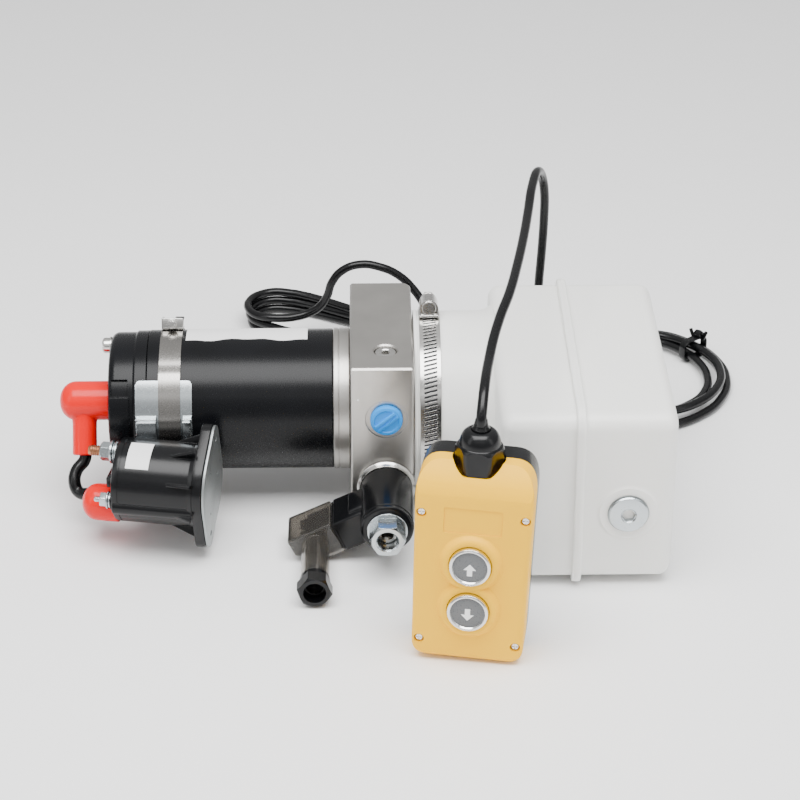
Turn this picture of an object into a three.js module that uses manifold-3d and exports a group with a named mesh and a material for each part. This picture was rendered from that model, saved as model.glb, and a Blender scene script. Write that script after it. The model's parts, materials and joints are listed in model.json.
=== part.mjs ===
// Hydraulic power unit lying on its side: motor, manifold block with solenoid valve, plastic tank,
// start relay and a push-button pendant on a cord. Millimetres, +Z up.
// The working frame has X along the motor axis towards the tank, Y away from the valve side,
// and Z = 0 on the motor axis. The finished group is moved so that its origin is on the ground.
import * as THREE from "three";
import { mergeVertices } from "three/addons/utils/BufferGeometryUtils.js";
import Module from "manifold-3d";

const wasm = await Module();
wasm.setup();

// ---------------------------------------------------------------- driving dimensions
const AXIS_HEIGHT = 78; // motor axis above the ground
const FLOOR = -AXIS_HEIGHT;
const GAP = 0.3; // clearance between neighbouring pieces
const DEG = Math.PI / 180;
const ROUND = 32; // sides of the large round pieces, the same for all so that they nest
const SMALL = 12; // sides of the small ones

const MOTOR = { radius: 55.5, wall: 4, capFace: -228.5, rimStart: -207.3, casingStart: -198,
  casingEnd: -53.2 };
const BLOCK = { x0: -39.5, x1: 9.5, halfY: 73, z0: FLOOR, z1: 66, corner: 2.5 };
const NECK = { radius: 69, inner: 65.2, x0: 10.5, wall: 3.6 };
const TANK = { x0: 72, x1: 203, y0: -157, y1: 68.5, z0: -73, z1: 69, corner: 12, seamX: 131,
  seamWidth: 6.8, seamProud: 5 };
const VALVE = { x: -12, z: -37.8, coilRadius: 20.5, coilFront: -138, tilt: 25.5 };
const PORT = { x: -11.7, z: 21.4, spotRadius: 16.3, capRadius: 12.5 };
const RELIEF = { x: -12, y: -43, radius: 8.8 };
const PUMP = { centres: 22, teeth: 10, outer: 12.8, pitch: 11, root: 8.2 };
const RELAY = { x: -155.5, y: -95, z: -22.5, yaw: -10, radius: 32.5, bodyLength: 63 };
const STRAP = { x: -180, width: 17, thick: 0.9 };
const SADDLE = { x0: -206.5, x1: -162.5, thick: 1.5 };
const PENDANT = { x: 47, y: -231.5, yaw: -9, lean: -3, roll: 1.5, height: 154, topWidth: 84.5,
  bottomWidth: 80.5, depth: 48 };
const BUTTON = { radius: 15.2, upper: 80.5, lower: 43, travel: 4 };
const CORD_R = 3.75;

// ---------------------------------------------------------------- solids: joining and cutting
const MERGE_TOLERANCE = 1e-3;

function signedVolume(positions, index) {
  let volume = 0;
  const a = new THREE.Vector3();
  const b = new THREE.Vector3();
  const c = new THREE.Vector3();
  for (let i = 0; i < index.length; i += 3) {
    a.fromArray(positions, index[i] * 3);
    b.fromArray(positions, index[i + 1] * 3);
    c.fromArray(positions, index[i + 2] * 3);
    volume += a.dot(b.cross(c)) / 6;
  }
  return volume;
}

function toManifold(geometry) {
  const bare = geometry.clone();
  bare.deleteAttribute("normal");
  bare.deleteAttribute("uv");
  const merged = mergeVertices(bare, MERGE_TOLERANCE);
  const index = merged.index.array;
  const kept = [];
  for (let i = 0; i < index.length; i += 3) {
    const [a, b, c] = [index[i], index[i + 1], index[i + 2]];
    if (a !== b && b !== c && c !== a) kept.push(a, b, c);
  }
  const vertProperties = Float32Array.from(merged.attributes.position.array);
  if (signedVolume(vertProperties, kept) < 0) kept.reverse();
  return new wasm.Manifold(new wasm.Mesh({ numProp: 3, vertProperties, triVerts: Uint32Array.from(kept) }));
}

function toGeometry(manifold) {
  const mesh = manifold.getMesh();
  const geometry = new THREE.BufferGeometry();
  geometry.setAttribute("position", new THREE.BufferAttribute(mesh.vertProperties, 3));
  geometry.setIndex(new THREE.BufferAttribute(mesh.triVerts, 1));
  geometry.computeVertexNormals();
  return geometry;
}

const join = (...pieces) => toGeometry(pieces.map(toManifold).reduce((whole, piece) => whole.add(piece)));
const cut = (body, ...tools) => toGeometry(
  tools.reduce((left, tool) => left.subtract(toManifold(tool)), toManifold(body)));
const common = (a, b) => toGeometry(toManifold(a).intersect(toManifold(b)));

// ---------------------------------------------------------------- basic shapes
// A turned shape's own axis is +Y; aim turns it along "x", "y", "z" or "front" (-Y).
function aim(geometry, axis) {
  if (axis === "x") return geometry.rotateZ(-Math.PI / 2);
  if (axis === "z") return geometry.rotateX(Math.PI / 2);
  if (axis === "front") return geometry.rotateX(Math.PI);
  return geometry;
}

// profile: [radius, distance along the axis] points; it starts and ends on the axis, or is a ring.
function turned(profile, axis, sides = 20) {
  const points = profile.map(([radius, along]) => new THREE.Vector2(radius, along));
  if (profile[0][0] > 0) points.push(points[0].clone());
  return aim(new THREE.LatheGeometry(points, sides), axis);
}

function rod(radius, from, to, axis, sides = 16) {
  const geometry = new THREE.CylinderGeometry(radius, radius, to - from, sides);
  return aim(geometry.translate(0, (from + to) / 2, 0), axis);
}

function ring(inner, outer, from, to, axis, sides = 24, chamfer = 0) {
  const square = [[inner, from], [outer, from], [outer, to], [inner, to]];
  const softened = [[inner, from], [outer - chamfer, from], [outer, from + chamfer],
    [outer, to - chamfer], [outer - chamfer, to], [inner, to]];
  return turned(chamfer > 0 ? softened : square, axis, sides);
}

// A hexagon with one flat facing the direction that "turn" picks.
function hexagon(acrossFlats, from, to, axis, turn = 0) {
  const corner = acrossFlats / Math.sqrt(3);
  const geometry = new THREE.CylinderGeometry(corner, corner, to - from, 6);
  return aim(geometry.rotateY(turn).translate(0, (from + to) / 2, 0), axis);
}

function box(x0, x1, y0, y1, z0, z1) {
  const geometry = new THREE.BoxGeometry(x1 - x0, y1 - y0, z1 - z0);
  return geometry.translate((x0 + x1) / 2, (y0 + y1) / 2, (z0 + z1) / 2);
}

function roundedOutline(x0, x1, y0, y1, radius) {
  const shape = new THREE.Shape();
  shape.absarc(x1 - radius, y1 - radius, radius, 0, 90 * DEG);
  shape.absarc(x0 + radius, y1 - radius, radius, 90 * DEG, 180 * DEG);
  shape.absarc(x0 + radius, y0 + radius, radius, 180 * DEG, 270 * DEG);
  shape.absarc(x1 - radius, y0 + radius, radius, 270 * DEG, 360 * DEG);
  return shape;
}

// An outline in X-Y made into a plate from z = from to z = to, its edges bevelled inside that size.
function plate(shape, from, to, bevel = 0, curveSegments = 3, bevelSegments = 1) {
  const options = { depth: to - from - 2 * bevel, bevelEnabled: bevel > 0, bevelThickness: bevel,
    bevelSize: bevel, bevelOffset: -bevel, bevelSegments, curveSegments };
  return new THREE.ExtrudeGeometry(shape, options).translate(0, 0, from + bevel);
}

// The same plate with its outline read as (Y, Z) and its thickness along X.
function plateAcrossX(shape, from, to, bevel = 0, curveSegments = 3, bevelSegments = 1) {
  const turn = new THREE.Matrix4().set(0, 0, 1, 0, 1, 0, 0, 0, 0, 1, 0, 0, 0, 0, 0, 1);
  return plate(shape, from, to, bevel, curveSegments, bevelSegments).applyMatrix4(turn);
}

// Part of a ring round the X axis; angles are measured from -Y upwards, in degrees.
function sector(inner, outer, fromAngle, toAngle, x0, x1, curveSegments = 6) {
  const [a0, a1] = [180 - toAngle, 180 - fromAngle].map((angle) => angle * DEG);
  const shape = new THREE.Shape();
  shape.absarc(0, 0, outer, a0, a1, false);
  shape.absarc(0, 0, inner, a1, a0, true);
  return plateAcrossX(shape, x0, x1, 0, curveSegments);
}

// The outline round two circles, as if a belt ran over them.
function beltOutline(x0, y0, r0, x1, y1, r1) {
  const heading = Math.atan2(y1 - y0, x1 - x0);
  const lean = Math.acos((r0 - r1) / Math.hypot(x1 - x0, y1 - y0));
  const shape = new THREE.Shape();
  shape.absarc(x1, y1, r1, heading - lean, heading + lean, false);
  shape.absarc(x0, y0, r0, heading + lean, heading - lean + 2 * Math.PI, false);
  return shape;
}

function tube(points, radius, steps, sides = 10) {
  const curve = new THREE.CatmullRomCurve3(points.map(([x, y, z]) => new THREE.Vector3(x, y, z)));
  const section = new THREE.Shape();
  for (let i = 0; i < sides; i += 1) {
    const angle = (i * 2 * Math.PI) / sides;
    const [x, y] = [radius * Math.cos(angle), radius * Math.sin(angle)];
    if (i === 0) section.moveTo(x, y);
    else section.lineTo(x, y);
  }
  section.closePath();
  return new THREE.ExtrudeGeometry(section, { steps, extrudePath: curve, bevelEnabled: false });
}

// ---------------------------------------------------------------- scene graph
const FINISHES = {
  blackPaint: { color: 0x17181a, roughness: 0.42, metalness: 0.2 },
  blackPlastic: { color: 0x1b1c1e, roughness: 0.5, metalness: 0 },
  aluminium: { color: 0xb4b2ad, roughness: 0.38, metalness: 0.85 },
  steel: { color: 0xb9bbbb, roughness: 0.3, metalness: 0.9 },
  zinc: { color: 0xa9aca6, roughness: 0.45, metalness: 0.8 },
  copper: { color: 0x7a4a35, roughness: 0.45, metalness: 0.8 },
  bronze: { color: 0xa8834b, roughness: 0.45, metalness: 0.8 },
  tankPlastic: { color: 0xe9e9e4, roughness: 0.45, metalness: 0 },
  clearPlastic: { color: 0x6d6b66, roughness: 0.15, metalness: 0 },
  redRubber: { color: 0xf01818, roughness: 0.35, metalness: 0 },
  bluePlastic: { color: 0x1187e0, roughness: 0.35, metalness: 0 },
  yellowPlastic: { color: 0xffc72e, roughness: 0.4, metalness: 0 },
  greyPlastic: { color: 0x8d8f92, roughness: 0.3, metalness: 0.3 },
  paper: { color: 0xeeeeee, roughness: 0.7, metalness: 0 },
  blackRubber: { color: 0x111213, roughness: 0.45, metalness: 0 },
};

const whole = new THREE.Group();
const relay = new THREE.Group();
relay.position.set(RELAY.x, RELAY.y, RELAY.z);
relay.rotation.z = RELAY.yaw * DEG;
const pendant = new THREE.Group();
pendant.position.set(PENDANT.x, PENDANT.y, FLOOR);
pendant.rotation.set(PENDANT.lean * DEG, PENDANT.roll * DEG, PENDANT.yaw * DEG, "ZYX");
const connector = new THREE.Group();
connector.position.set(VALVE.x, 0, VALVE.z);
connector.rotation.y = -VALVE.tilt * DEG;
whole.add(relay, pendant, connector);
whole.updateMatrixWorld(true);

function add(name, geometry, finish, parent = whole) {
  const mesh = new THREE.Mesh(geometry, new THREE.MeshStandardMaterial(FINISHES[finish]));
  mesh.name = name;
  parent.add(mesh);
  return mesh;
}

// A point of a turned group, in the working frame, as a plain list.
const placed = (group, x, y, z) => group.localToWorld(new THREE.Vector3(x, y, z)).toArray();

// ---------------------------------------------------------------- motor
const BOLT = { radius: 2.8, circle: 44, angle: 108, head: 6.2 };
const SHAFT_R = 6;

function motorShell() {
  const { radius, wall, capFace, rimStart, casingStart, casingEnd } = MOTOR;
  add("motor_casing", ring(radius - wall, radius, casingStart, casingEnd, "x", ROUND, 0.6), "blackPaint");

  const capRadius = radius - 1.5;
  const shell = turned([[0, capFace], [capRadius - 6, capFace], [capRadius - 1.6, capFace + 1.6],
    [capRadius, capFace + 5], [capRadius, rimStart - 1], [radius - 0.4, rimStart],
    [radius - 0.4, casingStart - GAP],
    [49, casingStart - GAP], [49, capFace + 5.5], [0, capFace + 5.5]], "x", ROUND);
  const ledge = sector(capRadius - 2, capRadius + 1.4, -12, 31, capFace + 1, capFace + 17);
  const recess = sector(capRadius - 3, capRadius + 4, 32, 46, capFace + 2.5, capFace + 15.8);
  const holes = [0, 180].map((turn) => rod(BOLT.radius + GAP, capFace - 5, capFace + 10, "x", SMALL)
    .translate(0, 0, BOLT.circle).rotateX((turn + BOLT.angle - 90) * -DEG));
  add("motor_end_cap", cut(join(shell, ledge), recess, ...holes), "blackPaint");

  const flange = ring(SHAFT_R + 0.4, radius + 0.6, casingEnd + GAP, BLOCK.x0 - GAP, "x", ROUND, 0.8);
  add("motor_flange", flange, "aluminium");
}

function throughBolts() {
  const headStart = MOTOR.capFace - 7.5;
  const headEnd = MOTOR.capFace - GAP;
  ["upper", "lower"].forEach((place, i) => {
    const head = turned([[0, headStart], [BOLT.head - 1.2, headStart], [BOLT.head, headStart + 1.2],
      [BOLT.head, headEnd], [0, headEnd]], "x", 14);
    const slot = box(headStart - 1, headStart + 1.8, -8, 8, -0.9, 0.9);
    const shank = rod(BOLT.radius, headStart + 2, MOTOR.casingEnd - 1, "x", SMALL);
    const bolt = join(cut(head, slot), shank).translate(0, 0, BOLT.circle);
    add(`through_bolt_${place}`, bolt.rotateX((BOLT.angle - 90 + 180 * i) * -DEG), "steel");
  });
}

function armature() {
  add("armature_shaft", rod(SHAFT_R, -222.4, -18, "x", 14), "steel");
  const slots = 12;
  const outline = new THREE.Shape();
  for (let i = 0; i < slots; i += 1) {
    const middle = (i * 2 * Math.PI) / slots;
    const tooth = Math.PI / slots;
    [[-0.72, 26], [-0.72, 30], [0.72, 30], [0.72, 26]].forEach(([side, radius], corner) => {
      const angle = middle + side * tooth;
      const point = [radius * Math.cos(angle), radius * Math.sin(angle)];
      if (i === 0 && corner === 0) outline.moveTo(...point);
      else outline.lineTo(...point);
    });
  }
  outline.closePath();
  const bore = new THREE.Path();
  bore.absarc(0, 0, SHAFT_R + GAP, 0, 2 * Math.PI, true);
  outline.holes.push(bore);
  add("armature_core", plateAcrossX(outline, -185, -85, 0, 8), "zinc");
  add("commutator", ring(SHAFT_R + GAP, 16.8, -216, -194, "x", ROUND, 0.6), "copper");
  add("rear_bearing", ring(SHAFT_R + GAP, 13, -222.4, -217, "x", 20), "bronze");
}

function stator() {
  const yoke = ring(31.5, 40.5, -190, -75, "x", 20);
  const slots = [0, 90].map((turn) => box(-180, -74, -60, 60, -6, 6).rotateX(turn * DEG));
  add("field_magnets", cut(yoke, ...slots), "blackPaint");
  const holder = ring(24, 40.5, -212, -207, "x", ROUND);
  const brush = () => box(-211, -199, -5, 5, 17.3, 30);
  const brushes = [0, 90, 180, 270].map((turn) => brush().rotateX(turn * DEG));
  add("brush_ring", join(holder, ...brushes), "bronze");
}

function motorLabel() {
  const label = sector(MOTOR.radius + GAP, MOTOR.radius + GAP + 0.4, 85, 122, -168.5, -73);
  add("motor_label", label, "paper");
}

// ---------------------------------------------------------------- manifold block and pump
const SHAFT_BORE = 12;

function manifoldBlock() {
  const { x0, x1, halfY, z0, z1, corner } = BLOCK;
  const outline = new THREE.Shape();
  outline.moveTo(x0 + corner, -halfY);
  outline.lineTo(x1 - corner, -halfY);
  outline.absarc(x1 - corner, -halfY + corner, corner, -90 * DEG, 0);
  outline.absarc(x1 - 3 * corner, halfY - 3 * corner, 3 * corner, 0, 90 * DEG);
  outline.absarc(x0 + corner, halfY - corner, corner, 90 * DEG, 180 * DEG);
  outline.absarc(x0 + corner, -halfY + corner, corner, 180 * DEG, 270 * DEG);
  const body = plate(outline, z0, z1, 1.3, 4);
  const spigot = ring(52, 62.4, x1 - 1, x1 + 26, "x", ROUND, 1);
  const front = -halfY;
  const spotFace = rod(PORT.spotRadius, front - 1, front + 1.2, "y").translate(PORT.x, 0, PORT.z);
  const port = rod(9.3, front, front + 20, "y", 16).translate(PORT.x, 0, PORT.z);
  const valveBore = rod(9, front - 1, front + 26, "y", 16).translate(VALVE.x, 0, VALVE.z);
  const reliefBore = rod(RELIEF.radius, z1 - 14, z1 + 1, "z", 20).translate(RELIEF.x, RELIEF.y, 0);
  const shaftBore = rod(SHAFT_BORE, x0 - 1, x1 + 1, "x", 20);
  add("manifold_block", cut(join(body, spigot), spotFace, port, valveBore, reliefBore, shaftBore),
    "aluminium");
}

function gearOutline(firstTooth) {
  const { teeth, outer, pitch, root } = PUMP;
  const flank = [[-9, root], [-6.4, pitch], [-3.2, outer], [3.2, outer], [6.4, pitch], [9, root]];
  const outline = new THREE.Shape();
  for (let i = 0; i < teeth; i += 1) {
    flank.forEach(([offset, radius], corner) => {
      const angle = (firstTooth + offset + (i * 360) / teeth) * DEG;
      const point = [radius * Math.cos(angle), radius * Math.sin(angle)];
      if (i === 0 && corner === 0) outline.moveTo(...point);
      else outline.lineTo(...point);
    });
  }
  outline.closePath();
  return outline;
}

function pump() {
  const bodyStart = BLOCK.x1 + GAP;
  const gears = { from: bodyStart + 7, to: bodyStart + 21 };
  const bodyEnd = gears.to + GAP;
  const coverStart = bodyEnd + GAP;
  const coverEnd = coverStart + 9;
  const down = -PUMP.centres;
  const outline = () => beltOutline(0, 0, 21, 0, down, 21);
  const hollow = () => rod(PUMP.outer + GAP, gears.from - GAP, bodyEnd + 1, "x");
  const body = cut(plateAcrossX(outline(), bodyStart, bodyEnd, 0, 10), hollow(),
    hollow().translate(0, 0, down),
    rod(SHAFT_R + 0.4, bodyStart - 1, bodyEnd, "x", 14),
    rod(5.4, gears.from - 4, bodyEnd, "x", 14).translate(0, 0, down));
  add("pump_body", body, "aluminium");
  const cover = cut(plateAcrossX(outline(), coverStart, coverEnd, 0, 10),
    rod(SHAFT_R + 0.4, coverStart - 1, coverStart + 5, "x", 14),
    rod(5.4, coverStart - 1, coverStart + 5, "x", 14).translate(0, 0, down));
  add("pump_cover", cover, "aluminium");

  const drive = join(plateAcrossX(gearOutline(-90), gears.from, gears.to),
    rod(SHAFT_R, -14, coverStart + 4, "x", 14));
  add("drive_gear", drive, "steel");
  const firstGap = 90 + 180 / PUMP.teeth;
  const driven = join(plateAcrossX(gearOutline(firstGap), gears.from, gears.to),
    rod(5, gears.from - 3.4, coverStart + 4, "x", 14));
  add("driven_gear", driven.translate(0, 0, down), "steel");
  const coupling = cut(rod(10.5, -34, 4, "x", 20), rod(SHAFT_R + GAP, -35, 5, "x", 14));
  add("shaft_coupling", coupling, "steel");

  const inlet = coverEnd + GAP;
  const suctionRoute = [[inlet + 1, -2, -24], [inlet + 22, -4, -24], [inlet + 42, -16, -22],
    [inlet + 52, -42, -18], [inlet + 54, -78, -14], [inlet + 54, -112, -12]];
  const strainer = turned([[0, 108], [9, 108], [13, 112], [13, 136], [11, 139], [0, 139]], "front", 20);
  add("suction_tube", join(tube(suctionRoute, 6.5, 9, 8), strainer.translate(inlet + 54, 0, -12)), "steel");
  add("return_tube", rod(4, BLOCK.x1 + GAP, 118, "x", SMALL).translate(0, -34, 28), "steel");
}

function blockFittings() {
  const top = BLOCK.z1 - 1.5;
  const screw = turned([[0, top - 11], [RELIEF.radius - 0.6, top - 11], [RELIEF.radius - 0.6, top - 0.6],
    [RELIEF.radius - 1.2, top], [0, top]], "z", 20);
  const socket = hexagon(6, top - 5, top + 1, "z");
  add("relief_screw", cut(screw, socket).translate(RELIEF.x, RELIEF.y, 0), "steel");

  const seat = BLOCK.halfY - 1.2 + GAP;
  const cap = turned([[0, seat - 14], [8.4, seat - 14], [8.8, seat], [PORT.capRadius, seat],
    [PORT.capRadius, seat + 3.4], [PORT.capRadius - 1.4, seat + 4.8], [0, seat + 4.8]], "front", 20);
  const bar = box(-3.4, 3.4, -(seat + 6.2), -(seat + 4), -9.5, 9.5);
  const slot = box(-5.2, -3.8, -(seat + 8), -(seat + 3.2), -8.5, 8.5);
  const plug = join(cut(cap, slot.rotateY(50 * DEG)), bar.rotateY(50 * DEG));
  add("port_plug", plug.translate(PORT.x, 0, PORT.z), "bluePlastic");

  add("neck_seal", ring(62.7, 64.9, BLOCK.x1 + 9, BLOCK.x1 + 14, "x", ROUND), "blackRubber");
}

// ---------------------------------------------------------------- solenoid valve
function solenoidValve() {
  const seat = BLOCK.halfY + GAP;
  const coilBack = seat + 6.5;
  const coilFront = -VALVE.coilFront;
  const tubeR = 7.5;
  const tubeEnd = coilFront + 7;
  const place = (geometry) => geometry.translate(VALVE.x, 0, VALVE.z);

  const base = turned([[0, seat], [22.8, seat], [22.8, seat + 1.5], [21, coilBack - GAP],
    [0, coilBack - GAP]], "front", 20);
  const stem = rod(8.6, seat - 24, seat + 1, "front", 20);
  const core = rod(tubeR, seat, tubeEnd, "front", 20);
  const bore = rod(4.8, coilBack, tubeEnd + 1, "front", 20);
  add("valve_cartridge", place(cut(join(base, stem, core), bore)), "steel");

  const plunger = turned([[0, coilBack + 3.5], [4.2, coilBack + 3.5], [4.4, coilBack + 5],
    [4.4, tubeEnd - 12], [2.4, tubeEnd - 8], [0, tubeEnd - 8]], "front", 16);
  add("valve_plunger", place(plunger), "steel");

  const coil = turned([[tubeR + GAP, coilBack], [VALVE.coilRadius - 2, coilBack],
    [VALVE.coilRadius, coilBack + 2], [VALVE.coilRadius, coilFront - 1.5],
    [VALVE.coilRadius - 1.5, coilFront], [tubeR + GAP, coilFront]], "front", 20);
  const terminalBase = box(-42, -12, -121, -84, -13, 13).rotateY(-VALVE.tilt * DEG);
  const clearance = rod(tubeR + GAP, coilBack - 1, coilFront + 1, "front", 20);
  add("valve_coil", place(cut(join(coil, terminalBase), clearance)), "blackPlastic");

  const nutStart = coilFront + GAP;
  const nutEnd = nutStart + 17;
  const washer = ring(tubeR + GAP, 15.5, nutStart, nutStart + 2, "front", 20);
  const hex = hexagon(24, nutStart + 1, nutEnd, "front", 30 * DEG);
  const chamfer = turned([[0, nutStart], [15, nutStart], [15, nutEnd - 2.4], [12.2, nutEnd], [0, nutEnd]],
    "front", 20);
  const nutBore = rod(tubeR + GAP, nutStart - 1, nutEnd + 1, "front", 20);
  add("coil_nut", place(cut(join(washer, common(hex, chamfer)), nutBore)), "steel");
}

// The plug connector's own frame: -X away from the coil, origin on the valve axis.
function plugConnector() {
  const [inner, outer] = [-42 - GAP, -79];
  const [front, back] = [-120, -84];
  const half = 13.5;
  const glandX = -61;
  const wall = 3;
  const neckR = 11;
  const neckEnd = 166;
  const corners = (inset) => new THREE.Shape([[inner, inset - half], [outer + 21 + inset / 2, inset - half],
    [outer + inset, -1 + inset / 2], [outer + inset, half - inset], [inner, half - inset]]
    .map(([x, z]) => new THREE.Vector2(x, z)));
  const sheetOf = (inset, from, to, bevel) => plate(corners(inset), from, to, bevel, 4).rotateX(90 * DEG);
  const neck = rod(neckR, 110, neckEnd, "front", 20).translate(glandX, 0, 0);
  const shell = join(sheetOf(0, -back, -front, 1.2), neck);
  const mouth = box(inner - 4, inner + 2, front + wall, back - wall, wall - half, half - wall);
  const hollow = join(sheetOf(wall, wall - back, -front - wall, 0), mouth);
  const neckHole = rod(neckR - 3, 108, neckEnd + 1, "front", 20).translate(glandX, 0, 0);
  add("connector_housing", cut(shell, hollow, neckHole), "clearPlastic", connector);

  const insert = box(outer + 16, inner - 0.2, front + 4, back - 4, -half + 8, half - 4);
  add("connector_insert", cut(insert, box(outer + 15, outer + 22, -104, -100, -20, 20)), "blackPlastic",
    connector);

  const nutEnd = neckEnd + 18;
  const nut = join(rod(11.6, neckEnd + GAP, neckEnd + 7, "front", 20),
    hexagon(23.6, neckEnd + 5, nutEnd, "front", (30 + VALVE.tilt) * DEG));
  const seal = rod(neckR - 3 - GAP, neckEnd - 8, neckEnd + 2, "front", 20);
  const hole = rod(4.6, neckEnd - 9, nutEnd + 1, "front", 16);
  const flare = turned([[0, nutEnd - 9], [7.4, nutEnd - 9], [8.6, nutEnd + 1], [0, nutEnd + 1]], "front", 20);
  add("connector_gland_nut", cut(join(nut, seal), hole, flare).translate(glandX, 0, 0), "blackPlastic",
    connector);
}

// ---------------------------------------------------------------- start relay
// The relay's own frame: X along its axis, origin at the flange's near face, body towards -X.
const LOBE = { tilt: 22, reach: 36.5, radius: 11.5 };
const STUDS = { main: { y: 4, z: 21 }, boot: { y: -3, z: -19 }, coil: { y: -23, z: -6 } };

function lobedPlate(from, to, shrink, bevel) {
  const [middle, lobe] = [RELAY.radius + 1 - shrink, LOBE.radius - shrink];
  const lean = Math.acos((middle - lobe) / LOBE.reach);
  const shape = new THREE.Shape();
  shape.absarc(0, LOBE.reach, lobe, 90 * DEG - lean, 90 * DEG + lean);
  shape.absarc(0, 0, middle, 90 * DEG + lean, 270 * DEG - lean);
  shape.absarc(0, -LOBE.reach, lobe, 270 * DEG - lean, 270 * DEG + lean);
  shape.absarc(0, 0, middle, 270 * DEG + lean, 450 * DEG - lean);
  return plateAcrossX(shape, from, to, bevel, 6).rotateX(-LOBE.tilt * DEG);
}

function startRelay() {
  const { radius, bodyLength } = RELAY;
  const end = -bodyLength;
  const can = turned([[0, end], [radius - 2, end], [radius, end + 2], [radius, 1], [0, 1]], "x", ROUND);
  const flange = lobedPlate(0, 8, 0, 0);
  const rib = (angle) => plate(new THREE.Shape([new THREE.Vector2(0.5, 0), new THREE.Vector2(-22, 0),
    new THREE.Vector2(0.5, 9)]), -1.5, 1.5)
    .rotateX(90 * DEG).translate(0, 0, radius - 1).rotateX(angle * DEG);
  const boss = rod(6.5, end + 1, 1, "x", 14).translate(0, -radius + 3.6, 0).rotateX(15 * DEG);
  const wall = box(end - 8.5, end + 1, -11, 9, -2.5, 6);
  const hollow = rod(radius - 9, end + 10, 9, "x", ROUND);
  const studBore = ({ y, z }) => rod(4.6, end - 1, end + 12, "x", SMALL).translate(0, y, z);
  const bores = [STUDS.main, STUDS.boot].map(studBore);
  const coilBore = rod(2.7, end - 1, end + 6, "x", SMALL).translate(0, STUDS.coil.y, STUDS.coil.z);
  const ribs = [62, 20, -118, 150].map((angle) => rib(angle));
  add("relay_body", cut(join(can, flange, boss, wall, ...ribs), hollow, ...bores, coilBore),
    "blackPlastic", relay);

  const endPlate = lobedPlate(8 + GAP, 10.4, 0.6, 0);
  const dimples = [1, -1].map((side) => rod(2.2, 9.4, 12, "x", 14).translate(0, 0, side * LOBE.reach));
  add("relay_end_plate", cut(endPlate, ...dimples.map((dimple) => dimple.rotateX(-LOBE.tilt * DEG))),
    "zinc", relay);

  const label = sector(radius + GAP, radius + GAP + 0.4, 46, 91, end + 10.5, end + 28.5);
  add("relay_label", label, "paper", relay);

  const plunger = turned([[0, end + 13.5], [15, end + 13.5], [15, end + 16.5], [4, end + 17], [4, end + 30],
    [9, end + 31], [9, 2], [0, 2]], "x", 20);
  add("relay_plunger", plunger, "steel", relay);

  const mainStud = rod(4.2, end - 25, end + 11.5, "x", SMALL).translate(0, STUDS.main.y, STUDS.main.z);
  add("relay_stud", mainStud, "copper", relay);
  const nut = join(hexagon(13, end - 15, end - 7, "x"), ring(4, 9, end - 7.5, end - GAP, "x", 14));
  const nutBore = rod(4.5, end - 20, end + 5, "x", SMALL);
  add("relay_nut", cut(nut, nutBore).translate(0, STUDS.main.y, STUDS.main.z), "zinc", relay);
  const coilStud = join(rod(2.3, end - 15, end + 5.5, "x", SMALL), hexagon(12, end - 10, end - 3, "x"),
    rod(6.8, end - 4, end - GAP, "x", 14));
  add("relay_coil_stud", coilStud.translate(0, STUDS.coil.y, STUDS.coil.z), "zinc", relay);
}

// The saddle hugs the motor, then bends out to meet the relay's side.
function saddleAndStrap() {
  const { x0, x1, thick } = SADDLE;
  const onMotor = sector(MOTOR.radius + GAP, MOTOR.radius + GAP + thick, -26, 44, x0, x1);
  const besideStrap = [[x0, STRAP.x - 10], [STRAP.x + 10, x1]];
  const webs = besideStrap.map(([from, to]) => box(from, to, -66, -54, -20, 14));
  const lips = besideStrap.map(([from, to]) => box(from, to, -60, -53, 13, 16));
  const motorCore = rod(MOTOR.radius + GAP, x0 - 1, x1 + 1, "x", ROUND);
  const relayCore = rod(RELAY.radius + 2 * GAP, -90, 30, "x", ROUND).applyMatrix4(relay.matrixWorld);
  add("relay_saddle", cut(join(onMotor, ...webs, ...lips), motorCore, relayCore), "zinc");

  const saddleOuter = MOTOR.radius + GAP + thick + GAP;
  const points = { inner: [], outer: [] };
  const steps = 48;
  for (let i = 0; i < steps; i += 1) {
    const angle = (i * 360) / steps;
    const fromSaddle = Math.max(0, Math.abs(((angle - 9 + 540) % 360) - 180) - 37);
    const rise = Math.max(0, 1 - fromSaddle / 12);
    const inner = MOTOR.radius + GAP + (saddleOuter - MOTOR.radius - GAP) * rise * rise * (3 - 2 * rise);
    const heading = (180 - angle) * DEG;
    [["inner", inner], ["outer", inner + STRAP.thick]].forEach(([side, radius]) => {
      points[side].push(new THREE.Vector2(radius * Math.cos(heading), radius * Math.sin(heading)));
    });
  }
  const outline = new THREE.Shape(points.outer);
  outline.holes.push(new THREE.Path(points.inner.reverse()));
  const band = plateAcrossX(outline, STRAP.x - STRAP.width / 2, STRAP.x + STRAP.width / 2);
  add("motor_strap", cut(band, relayCore), "steel");

  const start = MOTOR.radius + GAP + STRAP.thick + GAP;
  const half = STRAP.width / 2;
  const buckle = join(box(STRAP.x - half, STRAP.x + half, -6, 6, start, start + 2),
    box(STRAP.x - half, STRAP.x + half, -6, -4, start, start + 9),
    box(STRAP.x - half, STRAP.x + half, 4, 6, start, start + 9),
    rod(2.6, -15, 13, "y", 14).translate(STRAP.x, 0, start + 5),
    hexagon(8, -13, -8, "y").translate(STRAP.x, 0, start + 5));
  add("strap_screw", buckle.rotateX(-22 * DEG), "steel");
}

// ---------------------------------------------------------------- jumper cable and its boots
const BOOT = { radius: 15.5, legRadius: 9.6 };
const MOTOR_STUD = [-18, 9.5]; // place of the motor terminal on the end cap
const CABLE_R = 4.9;

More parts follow.
